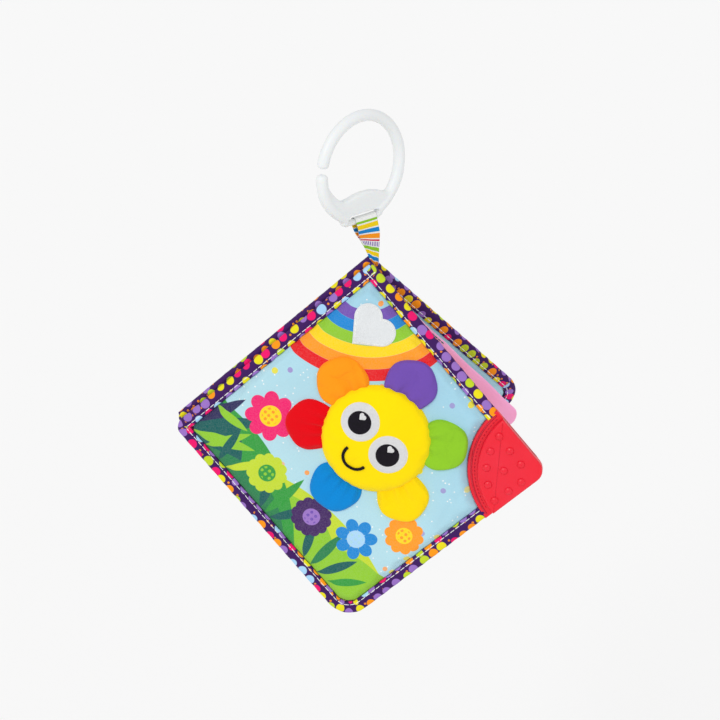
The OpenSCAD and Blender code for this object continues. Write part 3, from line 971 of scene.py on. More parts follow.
def stitches(
    name: str, line: Sequence[tuple[Vector, Vector]], length: float, gap: float, thick: float,
    material: bpy.types.Material,
) -> bpy.types.Object:
    """Lays a row of thread stitches along a line.

    Args:
        name: The piece's name.
        line: Points in metres along the row, each with the surface's normal.
        length: One stitch's length in millimetres.
        gap: The distance between two stitches in millimetres.
        thick: The thread's thickness in millimetres.
        material: The thread's material.

    Returns:
        The row as one piece.
    """
    walked = [0.0]
    for (a, _), (b, _) in zip(line, line[1:]):
        walked.append(walked[-1] + (b - a).length)
    at = 0

    def spot(distance: float) -> tuple[Vector, Vector]:
        nonlocal at
        while at < len(line) - 2 and walked[at + 1] < distance:
            at += 1
        share = (distance - walked[at]) / max(walked[at + 1] - walked[at], 1e-9)
        return line[at][0].lerp(line[at + 1][0], share), line[at][1].lerp(line[at + 1][1], share)

    points, faces = [], []
    here = 0.0
    while here + length * MM <= walked[-1]:
        rings = []
        for share, girth, rise in ((0.0, 0.35, -0.5), (0.22, 1.0, 0.35), (0.78, 1.0, 0.35), (1.0, 0.35, -0.5)):
            centre, normal = spot(here + share * length * MM)
            rings.append((centre + normal.normalized() * rise * thick * 0.5 * MM, normal.normalized(), girth))
        ahead = (rings[-1][0] - rings[0][0]).normalized()
        base = len(points)
        for centre, normal, girth in rings:
            side = ahead.cross(normal).normalized()
            for k in range(6):
                a = math.pi * k / 3
                points.append(centre + (side * math.cos(a) + normal * math.sin(a)) * (girth * thick * 0.5 * MM))
        for r in range(3):
            for k in range(6):
                a, b = base + r * 6 + k, base + r * 6 + (k + 1) % 6
                faces.append((a, b, b + 6, a + 6))
        faces.append(tuple(base + k for k in reversed(range(6))))
        faces.append(tuple(base + 18 + k for k in range(6)))
        here += (length + gap) * MM
    obj = mesh_object(name, points, faces)
    return settle(obj, None, material)


def surface_line(
    tree: BVHTree, place: Place, track: Iterable[tuple[float, float]], facing: float = 1.0
) -> list[tuple[Vector, Vector]]:
    """Drops a track of a place's plane onto a surface.

    Args:
        tree: The surface.
        place: The frame of the track.
        track: The track's two distances in millimetres.
        facing: 1 to drop from outside, -1 from within.

    Returns:
        The points on the surface with its normals.
    """
    line = []
    for u, v in track:
        start = place.point(u, v, LINE_FROM * facing)
        hit, normal, _, _ = tree.ray_cast(start, -place.z * facing)
        if hit is not None:
            line.append((hit, normal if normal.dot(place.z) * facing > 0 else -normal))
    return line


def height_over(tree: BVHTree, place: Place) -> Callable[[float, float], float]:
    """Gives the function that tells a surface's height over a place's plane, in millimetres."""

    def height(u: float, v: float) -> float:
        hit, _, _, _ = tree.ray_cast(place.point(u, v, DROP_FROM), -place.z)
        return place.z.dot(hit / MM - place.origin) if hit is not None else APPLIQUE_Z

    return height


def tree_of(*objects: bpy.types.Object) -> BVHTree:
    """Makes the search tree of some pieces' surfaces."""
    points, faces = [], []
    for obj in objects:
        base = len(points)
        points += [v.co.copy() for v in obj.data.vertices]
        faces += [[base + i for i in p.vertices] for p in obj.data.polygons]
    return BVHTree.FromPolygons(points, faces)


# ---- The ring and its ribbon ----


@dataclass
class ClipRing:
    """The white moulded ring with its web, slot and rail."""

    gap_angle: float = 173.0
    gap: float = 3.4
    web_t: float = 5.2
    slot_w: float = 24.0
    slot_h: float = 2.6
    rail_d: float = 3.6
    voxel: float = 0.55
    crest: tuple[tuple[float, float], ...] = (
        (-27.4, -4.0), (-23.6, -9.6), (-19.4, -14.0), (-14.6, -16.8), (-10.5, -16.3), (-5.0, -14.9),
        (1.0, -14.3), (7.0, -14.6), (13.0, -16.0), (18.0, -17.8), (21.6, -17.2), (24.6, -13.4), (27.6, -7.5),
    )

    def round_bar(self) -> bpy.types.Object:
        """Makes the open ring: a torus with its gap cut out and rounded ends."""
        clear_selection()
        bpy.ops.mesh.primitive_torus_add(
            major_segments=144, minor_segments=28, major_radius=RING_R * MM, minor_radius=RING_SECTION / 2 * MM,
            rotation=(math.pi / 2, 0, 0),
        )
        bar = bpy.context.object
        bpy.ops.object.transform_apply(rotation=True)
        away = math.radians(self.gap_angle)
        reach = (self.gap / 2 + 1.6) / RING_R
        bpy.ops.object.mode_set(mode="EDIT")
        pick_faces(lambda f: abs(math.remainder(
            math.atan2(f.calc_center_median().z, f.calc_center_median().x) - away, 2 * math.pi)) < reach)
        bpy.ops.mesh.delete(type="FACE")
        pick_edges(lambda e: e.is_boundary)
        bpy.ops.mesh.edge_face_add()
        bpy.ops.object.mode_set(mode="OBJECT")
        parts = [bar]
        for side in (-1, 1):
            a = away + side * (self.gap / 2 + 1.9) / RING_R
            clear_selection()
            bpy.ops.mesh.primitive_uv_sphere_add(
                segments=28, ring_count=16, radius=RING_SECTION / 2 * MM,
                location=(RING_R * MM * math.cos(a), 0, RING_R * MM * math.sin(a)), rotation=(0, -a, 0),
            )
            bpy.context.object.scale = (1.0, 1.0, 0.62)
            parts.append(bpy.context.object)
        return join("ring_bar", parts)

    def web(self) -> bpy.types.Object:
        """Makes the web: a disc shaped to the arch, extruded and bevelled."""
        foot = []
        for n in range(41):
            a = math.radians(-14 - 152 * n / 40)
            foot.append(((RING_R + 3.2) * math.cos(a), (RING_R + 3.2) * math.sin(a)))
        outline = [*self.crest, *foot]
        clear_selection()
        bpy.ops.mesh.primitive_circle_add(vertices=len(outline), radius=RING_R * MM, fill_type="NGON")
        web = bpy.context.object
        for point, (x, z) in zip(web.data.vertices, outline):
            point.co = (x * MM, -self.web_t / 2 * MM, z * MM)
        bpy.ops.object.mode_set(mode="EDIT")
        bpy.ops.mesh.select_all(action="SELECT")
        bpy.ops.mesh.extrude_region_move(TRANSFORM_OT_translate={"value": (0, self.web_t * MM, 0)})
        pick_edges(lambda e: len(e.link_faces) == 2 and abs(e.verts[0].co.y - e.verts[1].co.y) < 1e-6
                   and e.calc_face_angle(0) > 1.0)
        bpy.ops.mesh.bevel(offset=0.9 * MM, segments=3, affect="EDGES")
        bpy.ops.object.mode_set(mode="OBJECT")
        return web

    def cut_slot(self, body: bpy.types.Object) -> None:
        """Cuts the slot for the ribbon, and leaves the bare rail across it."""
        top = RAIL_Z + self.rail_d / 2 + self.slot_h
        clear_selection()
        bpy.ops.mesh.primitive_cube_add(size=1, location=(0, 0, (top - 20.0) * MM))
        cutter = bpy.context.object
        cutter.scale = (self.slot_w * MM, 30 * MM, 40 * MM)
        bpy.ops.object.transform_apply(location=True, scale=True)
        bpy.ops.object.mode_set(mode="EDIT")
        pick_edges(lambda e: all(p.co.z > (top - 1.0) * MM for p in e.verts)
                   and abs(e.verts[0].co.x - e.verts[1].co.x) < 1e-6)
        bpy.ops.mesh.bevel(offset=1.6 * MM, segments=4, affect="EDGES")
        bpy.ops.object.mode_set(mode="OBJECT")
        apply_modifier(body, "BOOLEAN", object=cutter, operation="DIFFERENCE", solver="EXACT")
        bpy.data.objects.remove(cutter)

    def rail(self) -> list[bpy.types.Object]:
        """Makes the round rail and its two cheeks."""
        clear_selection()
        bpy.ops.mesh.primitive_cylinder_add(
            vertices=24, radius=self.rail_d / 2 * MM, depth=(self.slot_w + 2) * MM,
            location=(0, 0, RAIL_Z * MM), rotation=(0, math.pi / 2, 0),
        )
        parts = [bpy.context.object]
        for side in (-1, 1):
            clear_selection()
            bpy.ops.mesh.primitive_uv_sphere_add(
                segments=24, ring_count=16, radius=2.7 * MM,
                location=(side * (self.slot_w / 2 + 1.1) * MM, 0, -29.2 * MM),
            )
            parts.append(bpy.context.object)
        return parts

    def build(self) -> bpy.types.Object:
        """Makes the ring as one moulding.

        Returns:
            The ring, in place.
        """
        bar, web = self.round_bar(), self.web()
        for part in (bar, web):
            face_outwards(part, merge=True)
        for part in (web, bar):
            self.cut_slot(part)
        ring = join("ring_moulding", [bar, web, *self.rail()])
        activate(ring)
        bpy.ops.object.transform_apply(location=True, rotation=True, scale=True)
        apply_modifier(ring, "REMESH", mode="VOXEL", voxel_size=self.voxel * MM, adaptivity=0.0)
        apply_modifier(ring, "SMOOTH", factor=0.5, iterations=9)
        settle(ring, PLACES["ring"], plain("ring_plastic", Hue.MILK, PLASTIC))
        return finish_piece(ring, Body.RING, ["clip_ring"])


@dataclass
class Ribbon:
    """The striped ribbon: one strip folded round the rail, its ends in the spine."""

    wide: float = 16.0
    foot_wide: float = 6.6
    slide: float = 2.0
    foot_u: float = 2.6
    thick: float = 0.6
    loop_r: float = 2.4
    tail: float = 5.0
    rows: int = 34
    columns: int = 14

    def centre(self, drop: float, side: int) -> tuple[Vector, Vector, Vector, float]:
        """Gives a row of one strand.

        Args:
            drop: The row's share of the way from the rail to the spine's corner.
            side: -1 for the near strand, 1 for the far one.

        Returns:
            The row's middle, its direction across, its normal and its half width.
        """
        ring = PLACES["ring"]
        top = ring.origin + Vector((0, 0, RAIL_Z)) + ring.x * self.slide
        page = PLACES["page"]
        end = SPINE_TOP + page.x * self.foot_u
        middle = top.lerp(end, drop)
        pinch = drop * drop * (3 - 2 * drop)
        across = ring.x.lerp(page.x.lerp(ring.x, 0.35), pinch).normalized()
        normal = (ring.y.lerp(-page.z, pinch) * side).normalized()
        gather = max(0.0, (drop - 0.28) / 0.72)
        half = self.wide / 2 + (self.foot_wide / 2 - self.wide / 2) * gather**1.25
        lift = self.loop_r * (1 - pinch) + 0.42 * pinch
        return middle + normal * lift, across, normal, half

    def build(self) -> bpy.types.Object:
        """Makes the strip from the far foot over the rail to the near foot.

        Returns:
            The ribbon, in place.
        """
        stations = []
        ring = PLACES["ring"]
        rail = ring.origin + Vector((0, 0, RAIL_Z)) + ring.x * self.slide
        for n in range(self.rows, -1, -1):
            stations.append((*self.centre(n / self.rows, 1), -n / self.rows))
        for n in range(1, 12):
            a = math.pi * n / 12
            normal = ring.y * math.cos(a) + Vector((0, 0, 1)) * math.sin(a)
            stations.append((rail + normal * self.loop_r, ring.x, normal, self.wide / 2, 0.0))
        for n in range(self.rows + 1):
            stations.append((*self.centre(n / self.rows, -1), n / self.rows))
        into = -PLACES["page"].y
        for end, share in ((0, -1.0), (-1, 1.0)):
            middle, across, normal, half, _ = stations[end]
            tail = (middle + into * self.tail, across, normal, half, share)
            stations = [tail, *stations] if end == 0 else [*stations, tail]
        walked = [0.0]
        for a, b in zip(stations, stations[1:]):
            walked.append(walked[-1] + (b[0] - a[0]).length)
        halfway = walked[len(stations) // 2]
        points, spots = [], []
        for station, length in zip(stations, walked):
            middle, across, normal, half, share = station
            pleat = max(0.0, abs(share) - 0.3) / 0.7
            for k in range(self.columns + 1):
                x = 2 * k / self.columns - 1
                fold = pleat * 0.75 * math.sin(x * 5.2 + share * 1.3) + 0.18 * math.sin(length * 0.5 + x * 2)
                sag = abs(share) * (1 - abs(share)) * 0.9 * x * x
                points.append((middle + across * half * x + normal * (fold * 0.8 + sag)) * MM)
                spots.append((self.wide / 2 * x + 20, length - halfway))
        ribbon = mesh_object("ribbon", points, strip_faces(len(stations) - 1, self.columns))
        write_map(ribbon, spots)
        apply_modifier(ribbon, "SOLIDIFY", thickness=self.thick * MM, offset=0.0)
        subdivide(ribbon)
        settle(ribbon, None, ribbon_cloth())
        return finish_piece(ribbon, Body.BLOCK, ["ribbon_loop"])


# ---- Covers, their bindings and the spine ----


@dataclass
class Binding:
    """The dotted tape folded round a cover's edge, with its stitches on both faces."""

    side: str
    body: Body
    with_teether: bool
    step: float = 1.6
    stitch_inset: float = 5.9
    flat_w: float = 17.0
    profile: tuple[tuple[float, float], ...] = (
        (8.1, 0.5), (7.6, -0.05), (6.6, -0.18), (5.9, 0.02), (5.2, -0.22), (3.4, -0.3), (1.5, -0.12),
        (0.45, 0.5), (0.05, 1.7), (0.45, 2.95), (1.5, 3.75), (3.4, 4.05), (5.2, 3.92), (5.9, 3.6),
        (6.6, 3.85), (7.6, 3.7), (8.1, 3.0), (6.5, 2.1), (2.4, 1.75), (6.5, 1.35),
    )

    def track(self) -> list[tuple[float, float, float, float]]:
        """Walks the cover's edge.

        Returns:
            Points of the edge, each with its inward direction.
        """
        start_v = COVER_H
        stop_u = COVER_W - TEETHER_R + 1.6 if self.with_teether else COVER_W - CORNER_R
        found: list[tuple[float, float, float, float]] = []

        def line(a: tuple[float, float], b: tuple[float, float], n: tuple[float, float]) -> None:
            length = math.dist(a, b)
            count = max(2, round(length / self.step))
            for k in range(1, count):
                t = k / count
                found.append((a[0] + (b[0] - a[0]) * t, a[1] + (b[1] - a[1]) * t, *n))

        def arc(u: float, v: float, first: float, r: float = CORNER_R) -> None:
            for k in range(13):
                a = math.radians(first + 90 * k / 12)
                found.append((u + r * math.cos(a), v + r * math.sin(a), -math.cos(a), -math.sin(a)))

        left, right = SPINE_GAP, COVER_W
        found.append((stop_u, start_v, 0, -1))
        line((stop_u, start_v), (left, start_v), (0, -1))
        found.append((left, start_v, 1, -1))
        line((left, start_v), (left, FOOT_R), (1, 0))
        arc(left + FOOT_R, FOOT_R, 180, FOOT_R)
        line((left + FOOT_R, 0), (right - CORNER_R, 0), (0, 1))
        arc(right - CORNER_R, CORNER_R, -90)
        if self.with_teether:
            end = COVER_H - TEETHER_R + 1.6
            line((right, CORNER_R), (right, end), (-1, 0))
            found.append((right, end, -1, 0))
        else:
            line((right, CORNER_R), (right, COVER_H - CORNER_R), (-1, 0))
            arc(right - CORNER_R, COVER_H - CORNER_R, 0)
        return found

    def build(self, cloth: bpy.types.Material, thread: bpy.types.Material) -> bpy.types.Object:
        """Makes the tape and its stitches.

        Args:
            cloth: The tape's material.
            thread: The stitches' material.

        Returns:
            The tape.
        """
        place = PLACES[self.side]
        track = self.track()
        seed = 1.0 if self.side == "front" else 2.3
        points, spots = [], []
        length, before = 0.0, track[0]
        size = len(self.profile)
        for u, v, nu, nv in track:
            length += math.dist((u, v), before[:2])
            before = (u, v)
            rough = 1.9 if u < SPINE_GAP + 1 else 1.0
            pucker = rough * (0.24 * math.sin(length * 0.78 + seed) * math.sin(length * 0.21 + 2 * seed)
                              + 0.13 * math.sin(length * 1.9 + seed))
            girth = 0.0
            last = self.profile[0]
            for k, (inset, z) in enumerate(self.profile):
                girth += math.dist((inset, z), last)
                last = (inset, z)
                near = max(0.0, 1.0 - abs(inset - 6.4) / 3.2)
                outer = k < size - 3
                lift = pucker * (0.5 + near) * (1 if z > 1.7 else -0.45) * outer
                slip = 0.12 * math.sin(length * 0.63 + seed * 3) * (inset < 0.6 or inset > 7)
                reach = inset + slip
                points.append(place.point(u + nu * reach, v + nv * reach, z + lift * (inset > 1)))
                spots.append((length, girth + 40 * seed))
        count = len(track)
        closed = not self.with_teether
        faces = []
        for r in range(count if closed else count - 1):
            here, there = r * size, (r + 1) % count * size
            for k in range(size):
                j = (k + 1) % size
                faces.append((here + k, here + j, there + j, there + k))
        if not closed:
            faces += [tuple(range(size)), tuple(reversed(range((count - 1) * size, count * size)))]
        tape = mesh_object(f"{self.side}_binding_tape", points, faces)
        write_map(tape, spots)
        subdivide(tape)
        settle(tape, None, cloth)
        tree = tree_of(tape)
        rows = []
        for facing, name in ((1.0, "outer"), (-1.0, "inner")):
            path = [(u + nu * self.stitch_inset, v + nv * self.stitch_inset) for u, v, nu, nv in track]
            row = surface_line(tree, place, path, facing)
            rows.append(stitches(f"{self.side}_binding_{name}_row", row, 3.6, 0.3, 0.48, thread))
        length * MM
        for row in rows:
            finish_piece(row, self.body)
        return finish_piece(tape, self.body, [f"{self.side}_binding"])


@dataclass
class CoverPad:
    """A padded cover: its outer cloth, wadding and inner cloth as one stuffed form."""

    side: str
    body: Body
    with_teether: bool
    slot: str
    nodes: Sequence[str]
    step: float = 2.3
    inset: float = 7.3

    def top(self, u: float, v: float, d: float) -> float:
        """Gives the outer face's height at a place, d from the rim."""
        rise = min(1.0, d / 5.2)
        height = 2.4 + 4.35 * rise * rise * (3 - 2 * rise)
        pucker = 0.42 * math.exp(-d / 5.0) * wave(u * 0.62, v * 0.62, 0.4) * min(1.0, d / 1.5)
        sway = 0.22 * wave(u * 0.085, v * 0.085, 1.2) * min(1.0, d / 12)
        if self.side == "front":
            far = math.hypot(u - FLOWER_U, v - FLOWER_V)
            tuck = math.exp(-(((far - 60) / 7.5) ** 2))
            spoke = 0.5 + 0.5 * math.cos(math.atan2(v - FLOWER_V, u - FLOWER_U) * 11)
            return height + pucker + sway * (0 if far < 56 else 1) - 0.28 * tuck * spoke
        return height + pucker + sway * 1.4

    def under(self, u: float, v: float, d: float) -> float:
        """Gives the inner face's height at a place, d from the rim."""
        soft = min(1.0, d / 6)
        return 0.95 - 0.5 * soft + 0.28 * soft * wave(u * 0.1, v * 0.16, 2.2)

    def build(self, outer: bpy.types.Material, inner: bpy.types.Material) -> bpy.types.Object:
        """Makes the pad.

        Args:
            outer: The outer cloth's material.
            inner: The inner cloth's material.

        Returns:
            The pad.
        """
        i = self.inset
        span = (SPINE_GAP + i, i, COVER_W - i, COVER_H - i)
        shape = rounded(*span, CORNER_R - i + 1.5, 3.0)
        if self.with_teether:
            shape = without(shape, circle(COVER_W, COVER_H, TEETHER_R - 0.5))
        quilt = Quilt(f"{self.side}_pad", PLACES[self.side], shape, self.top, self.under, span, self.step)
        pad = Pad(quilt, pressure=3.0, cap=0.75, hold=4.0, slack=0.03).make()
        settle(pad, None, outer, inner)
        for face in pad.data.polygons:
            face.material_index = 1 if face.normal.dot(PLACES[self.side].z) < -0.35 else 0
        return finish_piece(pad, self.body, self.nodes)


@dataclass
class Page:
    """The satin page, two layers with its edges rounded by a thread."""

    inset: float = 6.0
    step: float = 2.0
    spine_u: float = -1.3

    @staticmethod
    def ripple(u: float, v: float) -> float:
        """Gives the page's height off its plane."""
        start = min(1.0, max(0.0, (u - 10) / 14))
        return start * (0.85 * math.sin(2 * math.pi * (u - 12) / 38) + 0.3 * wave(u * 0.09, v * 0.13, 0.7))

    def build(self, thread: bpy.types.Material) -> bpy.types.Object:
        """Makes the page and its edge thread.

        Args:
            thread: The edge thread's material.

        Returns:
            The page.
        """
        high = COVER_H - self.inset
        place = PLACES["page"]
        span = (self.spine_u, self.inset, COVER_W - self.inset, high)
        shape = rounded(*span, CORNER_R - self.inset)
        edge = lambda d: 0.25 + 0.72 * math.sqrt(min(1.0, d / 2.6))
        quilt = Quilt(
            "satin_page", place, shape, lambda u, v, d: self.ripple(u, v) + edge(d),
            lambda u, v, d: self.ripple(u, v) - edge(d), span, self.step,
        )
        page = quilt.make()
        subdivide(page)
        settle(page, None, plain("page_satin", Hue.PINK, SATIN, Hue.MAGENTA))
        tree = tree_of(page)
        path = [(22 + n * 1.2, high - 1.3) for n in range(48)]
        row = stitches("page_edge_thread", surface_line(tree, place, path), 2.9, 0.12, 0.6, thread)
        finish_piece(row, Body.BLOCK)
        return finish_piece(page, Body.BLOCK, ["inner_page"])


@dataclass
class SpineCloth:
    """The cloth round the back of the spine, in two halves, one running to each cover."""

    inner_r: float = 1.69
    thick: float = 0.75
    first: float = 78.0
    last: float = 273.4
    seam: float = 8.0
    foot_v: float = 6.4
    head_gap: float = 0.6
    bend_columns: int = 10
    seam_columns: int = 6
    rows: int = 120

    def half(self, name: str, start: float, stop: float, lean: float, body: Body,
             cloth: bpy.types.Material) -> bpy.types.Object:
        """Makes one half, from the block's side round to its seam allowance inside a cover.

        Args:
            name: The piece's name.
            start: The angle at the middle of the spine.
            stop: The angle at the cover's edge.
            lean: The angle at which the cover stands.
            body: The cover at whose edge it ends, named in the log.
            cloth: Its material.

        Returns:
            The half.
        """
        place = PLACES["spine"]
        radius = self.inner_r + self.thick / 2
        arc = abs(math.radians(stop - start)) * radius
        tall = COVER_H - self.head_gap - self.foot_v
        points, spots = [], []
        for r in range(self.rows + 1):
            v = self.foot_v + tall * r / self.rows
            loose = max(0.0, 0.16 * math.sin(v * 0.6) * math.sin(v * 0.17) + 0.06 * math.sin(v * 1.3))
            for k in range(self.bend_columns + 1):
                share = k / self.bend_columns
                a = math.radians(start + (stop - start) * share)
                far = radius + loose * math.sin(math.pi * share)
                points.append(place.point(far * math.cos(a), v, far * math.sin(a)))
                spots.append((v, arc * share + 90))
            a, b = math.radians(stop), math.radians(lean)
            for k in range(1, self.seam_columns + 1):
                run = self.seam * k / self.seam_columns
                x, z = radius * math.cos(a) + run * math.cos(b), radius * math.sin(a) + run * math.sin(b)
                points.append(place.point(x, v, z))
                spots.append((v, arc + run + 90))
        piece = mesh_object(name, points, strip_faces(self.rows, self.bend_columns + self.seam_columns))
        write_map(piece, spots)
        apply_modifier(piece, "SOLIDIFY", thickness=self.thick * MM, offset=0.0)
        settle(piece, None, cloth)
        for angle in (start, stop):
            a = math.radians(angle)
            place.point(self.inner_r * math.cos(a), COVER_H / 2, self.inner_r * math.sin(a))
        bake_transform(piece)
        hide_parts("spine_tape")
        LOG.info("%s bends between book_block and %s", name, body.value)
        return piece

    def build(self, cloth: bpy.types.Material) -> None:
        """Makes both halves."""
        middle = (self.first + self.last) / 2
        self.half("spine_cloth_near", middle, self.first, FRONT_OPEN, Body.FRONT, cloth)
        self.half("spine_cloth_far", middle, self.last, -BACK_OPEN, Body.BACK, cloth)


# ---- The flower, the patch and the teether ----


@dataclass
class Flower:
    """The padded head with its stitched face, and six stuffed petals."""

    first: float = 170.0
    step: float = 62.2
    petals: tuple[tuple[str, Hue], ...] = (
        ("orange", Hue.ORANGE), ("purple", Hue.PURPLE), ("green", Hue.GREEN),
        ("yellow", Hue.YELLOW), ("blue", Hue.BLUE), ("red", Hue.RED),
    )

    def head_top(self, u: float, v: float, d: float) -> float:
        """Gives the head's height at a place, d from its rim."""
        x = min(1.0, d / HEAD_R)
        a = math.atan2(v - FLOWER_V, u - FLOWER_U)
        gather = 0.1 * math.exp(-d / 3.2) * math.sin(17 * a + 1.3 * math.sin(3 * a)) * min(1.0, d)
        return APPLIQUE_Z + 0.5 + 8.2 * (1 - (1 - x) ** 3.4) ** 0.62 + gather

    def petal_top(self, u: float, v: float, d: float) -> float:
        """Gives a petal's height at a place, d from its seam."""
        x = min(1.0, d / 9.0)
        far = math.hypot(u - FLOWER_U, v - FLOWER_V)
        a = math.atan2(v - FLOWER_V, u - FLOWER_U)
        pleat = 1.05 * math.exp(-max(0.0, far - HEAD_R) / 8.5) * math.sin(a * 29 + 2 * math.sin(a * 5))
        return APPLIQUE_Z + 0.35 + 3.3 * math.sqrt(1 - (1 - x) ** 2) + pleat * min(1.0, d / 2)

    def petal(self, n: int, name: str, hue: Hue) -> bpy.types.Object:
        """Makes one petal."""
        a = math.radians(self.first - n * self.step)
        u, v = FLOWER_U + PETAL_REACH * math.cos(a), FLOWER_V + PETAL_REACH * math.sin(a)
        disc, hole = circle(u, v, PETAL_R), circle(FLOWER_U, FLOWER_V, HEAD_R - 2.2)
        puffs = lambda x, y: 0.34 * math.sin(5 * math.atan2(y - v, x - u) + 2.1 * n)
        shape = lambda x, y: max(disc(x, y) + 0.2 + puffs(x, y), -hole(x, y))
        hub = (u + 3.0 * math.cos(a), v + 3.0 * math.sin(a))
        flat = lambda x, y, d: APPLIQUE_Z - 0.35
        quilt = Quilt(
            f"{name}_petal", PLACES["front"], shape, self.petal_top, flat, hub=hub, rings=12, spokes=80
        )
        piece = Pad(quilt, pressure=3.0, cap=0.6, hold=1.2, slack=0.04).make()
        settle(piece, None, plain(f"{name}_petal_cloth", hue, CLOTH))
        return finish_piece(piece, Body.FRONT, [f"petal_{name}"])

    def patch(self, name: str, tree: BVHTree, shape: Distance, centre: tuple[float, float],
              layer: float, material: bpy.types.Material, slot: str, node: str) -> bpy.types.Object:
        """Lays a stitched patch on the head.

        Args:
            name: The piece's name.
            tree: The head's surface.
            shape: The patch's outline.
            centre: Its middle on the cover.
            layer: Its height above the head.
            material: The thread's material.
            slot: Not used.
            node: The node that it stands for.

        Returns:
            The patch.
        """
        place = PLACES["front"]
        drop = height_over(tree, place)
        quilt = Quilt(
            name, place, shape, lambda u, v, d: drop(u, v) + layer + 0.42 * math.sqrt(min(1.0, d / 0.9)),
            lambda u, v, d: drop(u, v) + layer - 0.5, hub=centre, rings=10, spokes=64,
        )
        piece = quilt.make()
        subdivide(piece)
        settle(piece, None, material)
        return finish_piece(piece, Body.FRONT, [node])

    def face(self, head: bpy.types.Object) -> None:
        """Stitches the eyes and the smile on the head."""
        tree = tree_of(head)
        white, black = embroidery("eye_thread", Hue.WHITE), embroidery("pupil_thread", Hue.INK)
        for side, word in ((-1, "left"), (1, "right")):
            u, v = FLOWER_U + side * EYE_SPACING / 2 - 2.0, FLOWER_V + 1.7
            self.patch(f"{word}_eye", tree, circle(u, v, EYE_R), (u, v), 0.0, white,
                       "white_stitch", f"eye_white_{word}")
            self.patch(f"{word}_pupil", tree, circle(u, v - 0.4, PUPIL_R), (u, v - 0.4), 0.42, black,
                       "black_stitch", f"pupil_{word}")
            glint = (u - 1.6, v + 2.8)
            self.patch(f"{word}_glint", tree, heart(*glint, 4.6), (glint[0], glint[1] + 0.3), 0.85, white,
                       "white_stitch", f"highlight_{word}")
        middle = FLOWER_V - 14.2
        arc = [math.radians(176 + 188 * n / 60) for n in range(61)]
        track = [(FLOWER_U + 7.5 * math.cos(a), middle + 7.5 * math.sin(a)) for a in arc]
        smile = stitches("smile_stitch", surface_line(tree, PLACES["front"], track), 1.25, -0.42, 1.9, black)
        finish_piece(smile, Body.FRONT, ["smile"])

    def build(self) -> bpy.types.Object:
        """Makes the petals, the head and the face.

        Returns:
            The head.
        """
        for n, (name, hue) in enumerate(self.petals):
            self.petal(n, name, hue)
        shape = circle(FLOWER_U, FLOWER_V, HEAD_R)
        quilt = Quilt(
            "flower_pad", PLACES["front"], shape, self.head_top, lambda u, v, d: APPLIQUE_Z - 0.35,
            hub=(FLOWER_U, FLOWER_V), rings=20, spokes=128,
        )
        head = Pad(quilt, pressure=3.0, cap=0.6, hold=1.0, slack=0.015).make()
        settle(head, None, plain("head_velour", Hue.SUN, VELOUR, Hue.YELLOW))
        finish_piece(head, Body.FRONT, ["flower_head", "flower_filling"])
        self.face(head)
        return head


def embroidery(name: str, hue: Hue) -> bpy.types.Material:
    """Makes satin stitch: fine ridges of thread in one direction, with painted shade and sheen along the
    ridges.
    """
    paint = Paint(name)
    u, v = paint.along(PLACES["front"])
    wobble = paint.noise(500.0, 2.0) * 1.6
    ridge = ((u * 0.8 + v * 0.6) * (2 * math.pi / 0.62) + wobble).maths("SINE") * 0.4
    # Painted light along the ridges: where a ridge rises, white thread is tinted lilac, a painted shade, and
    # black thread plum, a painted sheen; a random tint is mixed in.
    tone = ridge * 0.1 + paint.noise(700.0, 2.0) * 0.12
    deep = Hue.LILAC if hue is Hue.WHITE else Hue.PLUM
    return dress(paint, paint.blend(tone.most(0.0), hue.linear, deep.linear), THREAD, ridge)


@dataclass
class Patch:
    """The blank heart-shaped patch with its zigzag edge."""

    u: float = 30.0
    drop: float = 27.0
    wide: float = 28.0
    tall_share: float = 0.93
    area_share: float = 0.6

    def build(self, pad: bpy.types.Object, thread: bpy.types.Material) -> bpy.types.Object:
        """Lays the patch on the cover and sews its edge.

        Args:
            pad: The cover's pad.
            thread: The edge thread's material.

        Returns:
            The patch.
        """
        place, v = PLACES["front"], COVER_H - self.drop
        shape = heart(self.u, v, self.wide)
        drop = height_over(tree_of(pad), place)
        quilt = Quilt(
            "heart_patch", place, shape,
            lambda u, w, d: drop(u, w) + 0.45 + 0.5 * min(1.0, d / 1.4) + 0.07 * wave(u * 0.5, w * 0.5, 3.0),
            lambda u, w, d: drop(u, w) - 0.3, hub=(self.u, v), rings=16, spokes=128,
        )
        patch = quilt.make()
        settle(patch, None, plain("patch_fleece", Hue.CHALK, FUZZ))
        outline = []
        for n in range(150):
            a = 2 * math.pi * n / 150
            r_out = quilt.reach(a) - (0.6 if n % 2 else 1.9)
            outline.append((self.u + r_out * math.cos(a), v + r_out * math.sin(a)))
        row = surface_line(tree_of(patch), place, [*outline, outline[0]])
        edge = stitches("heart_patch_edge", row, 1.5, 0.02, 0.42, thread)
        finish_piece(edge, Body.FRONT)
        return finish_piece(patch, Body.FRONT, ["label_patch"])


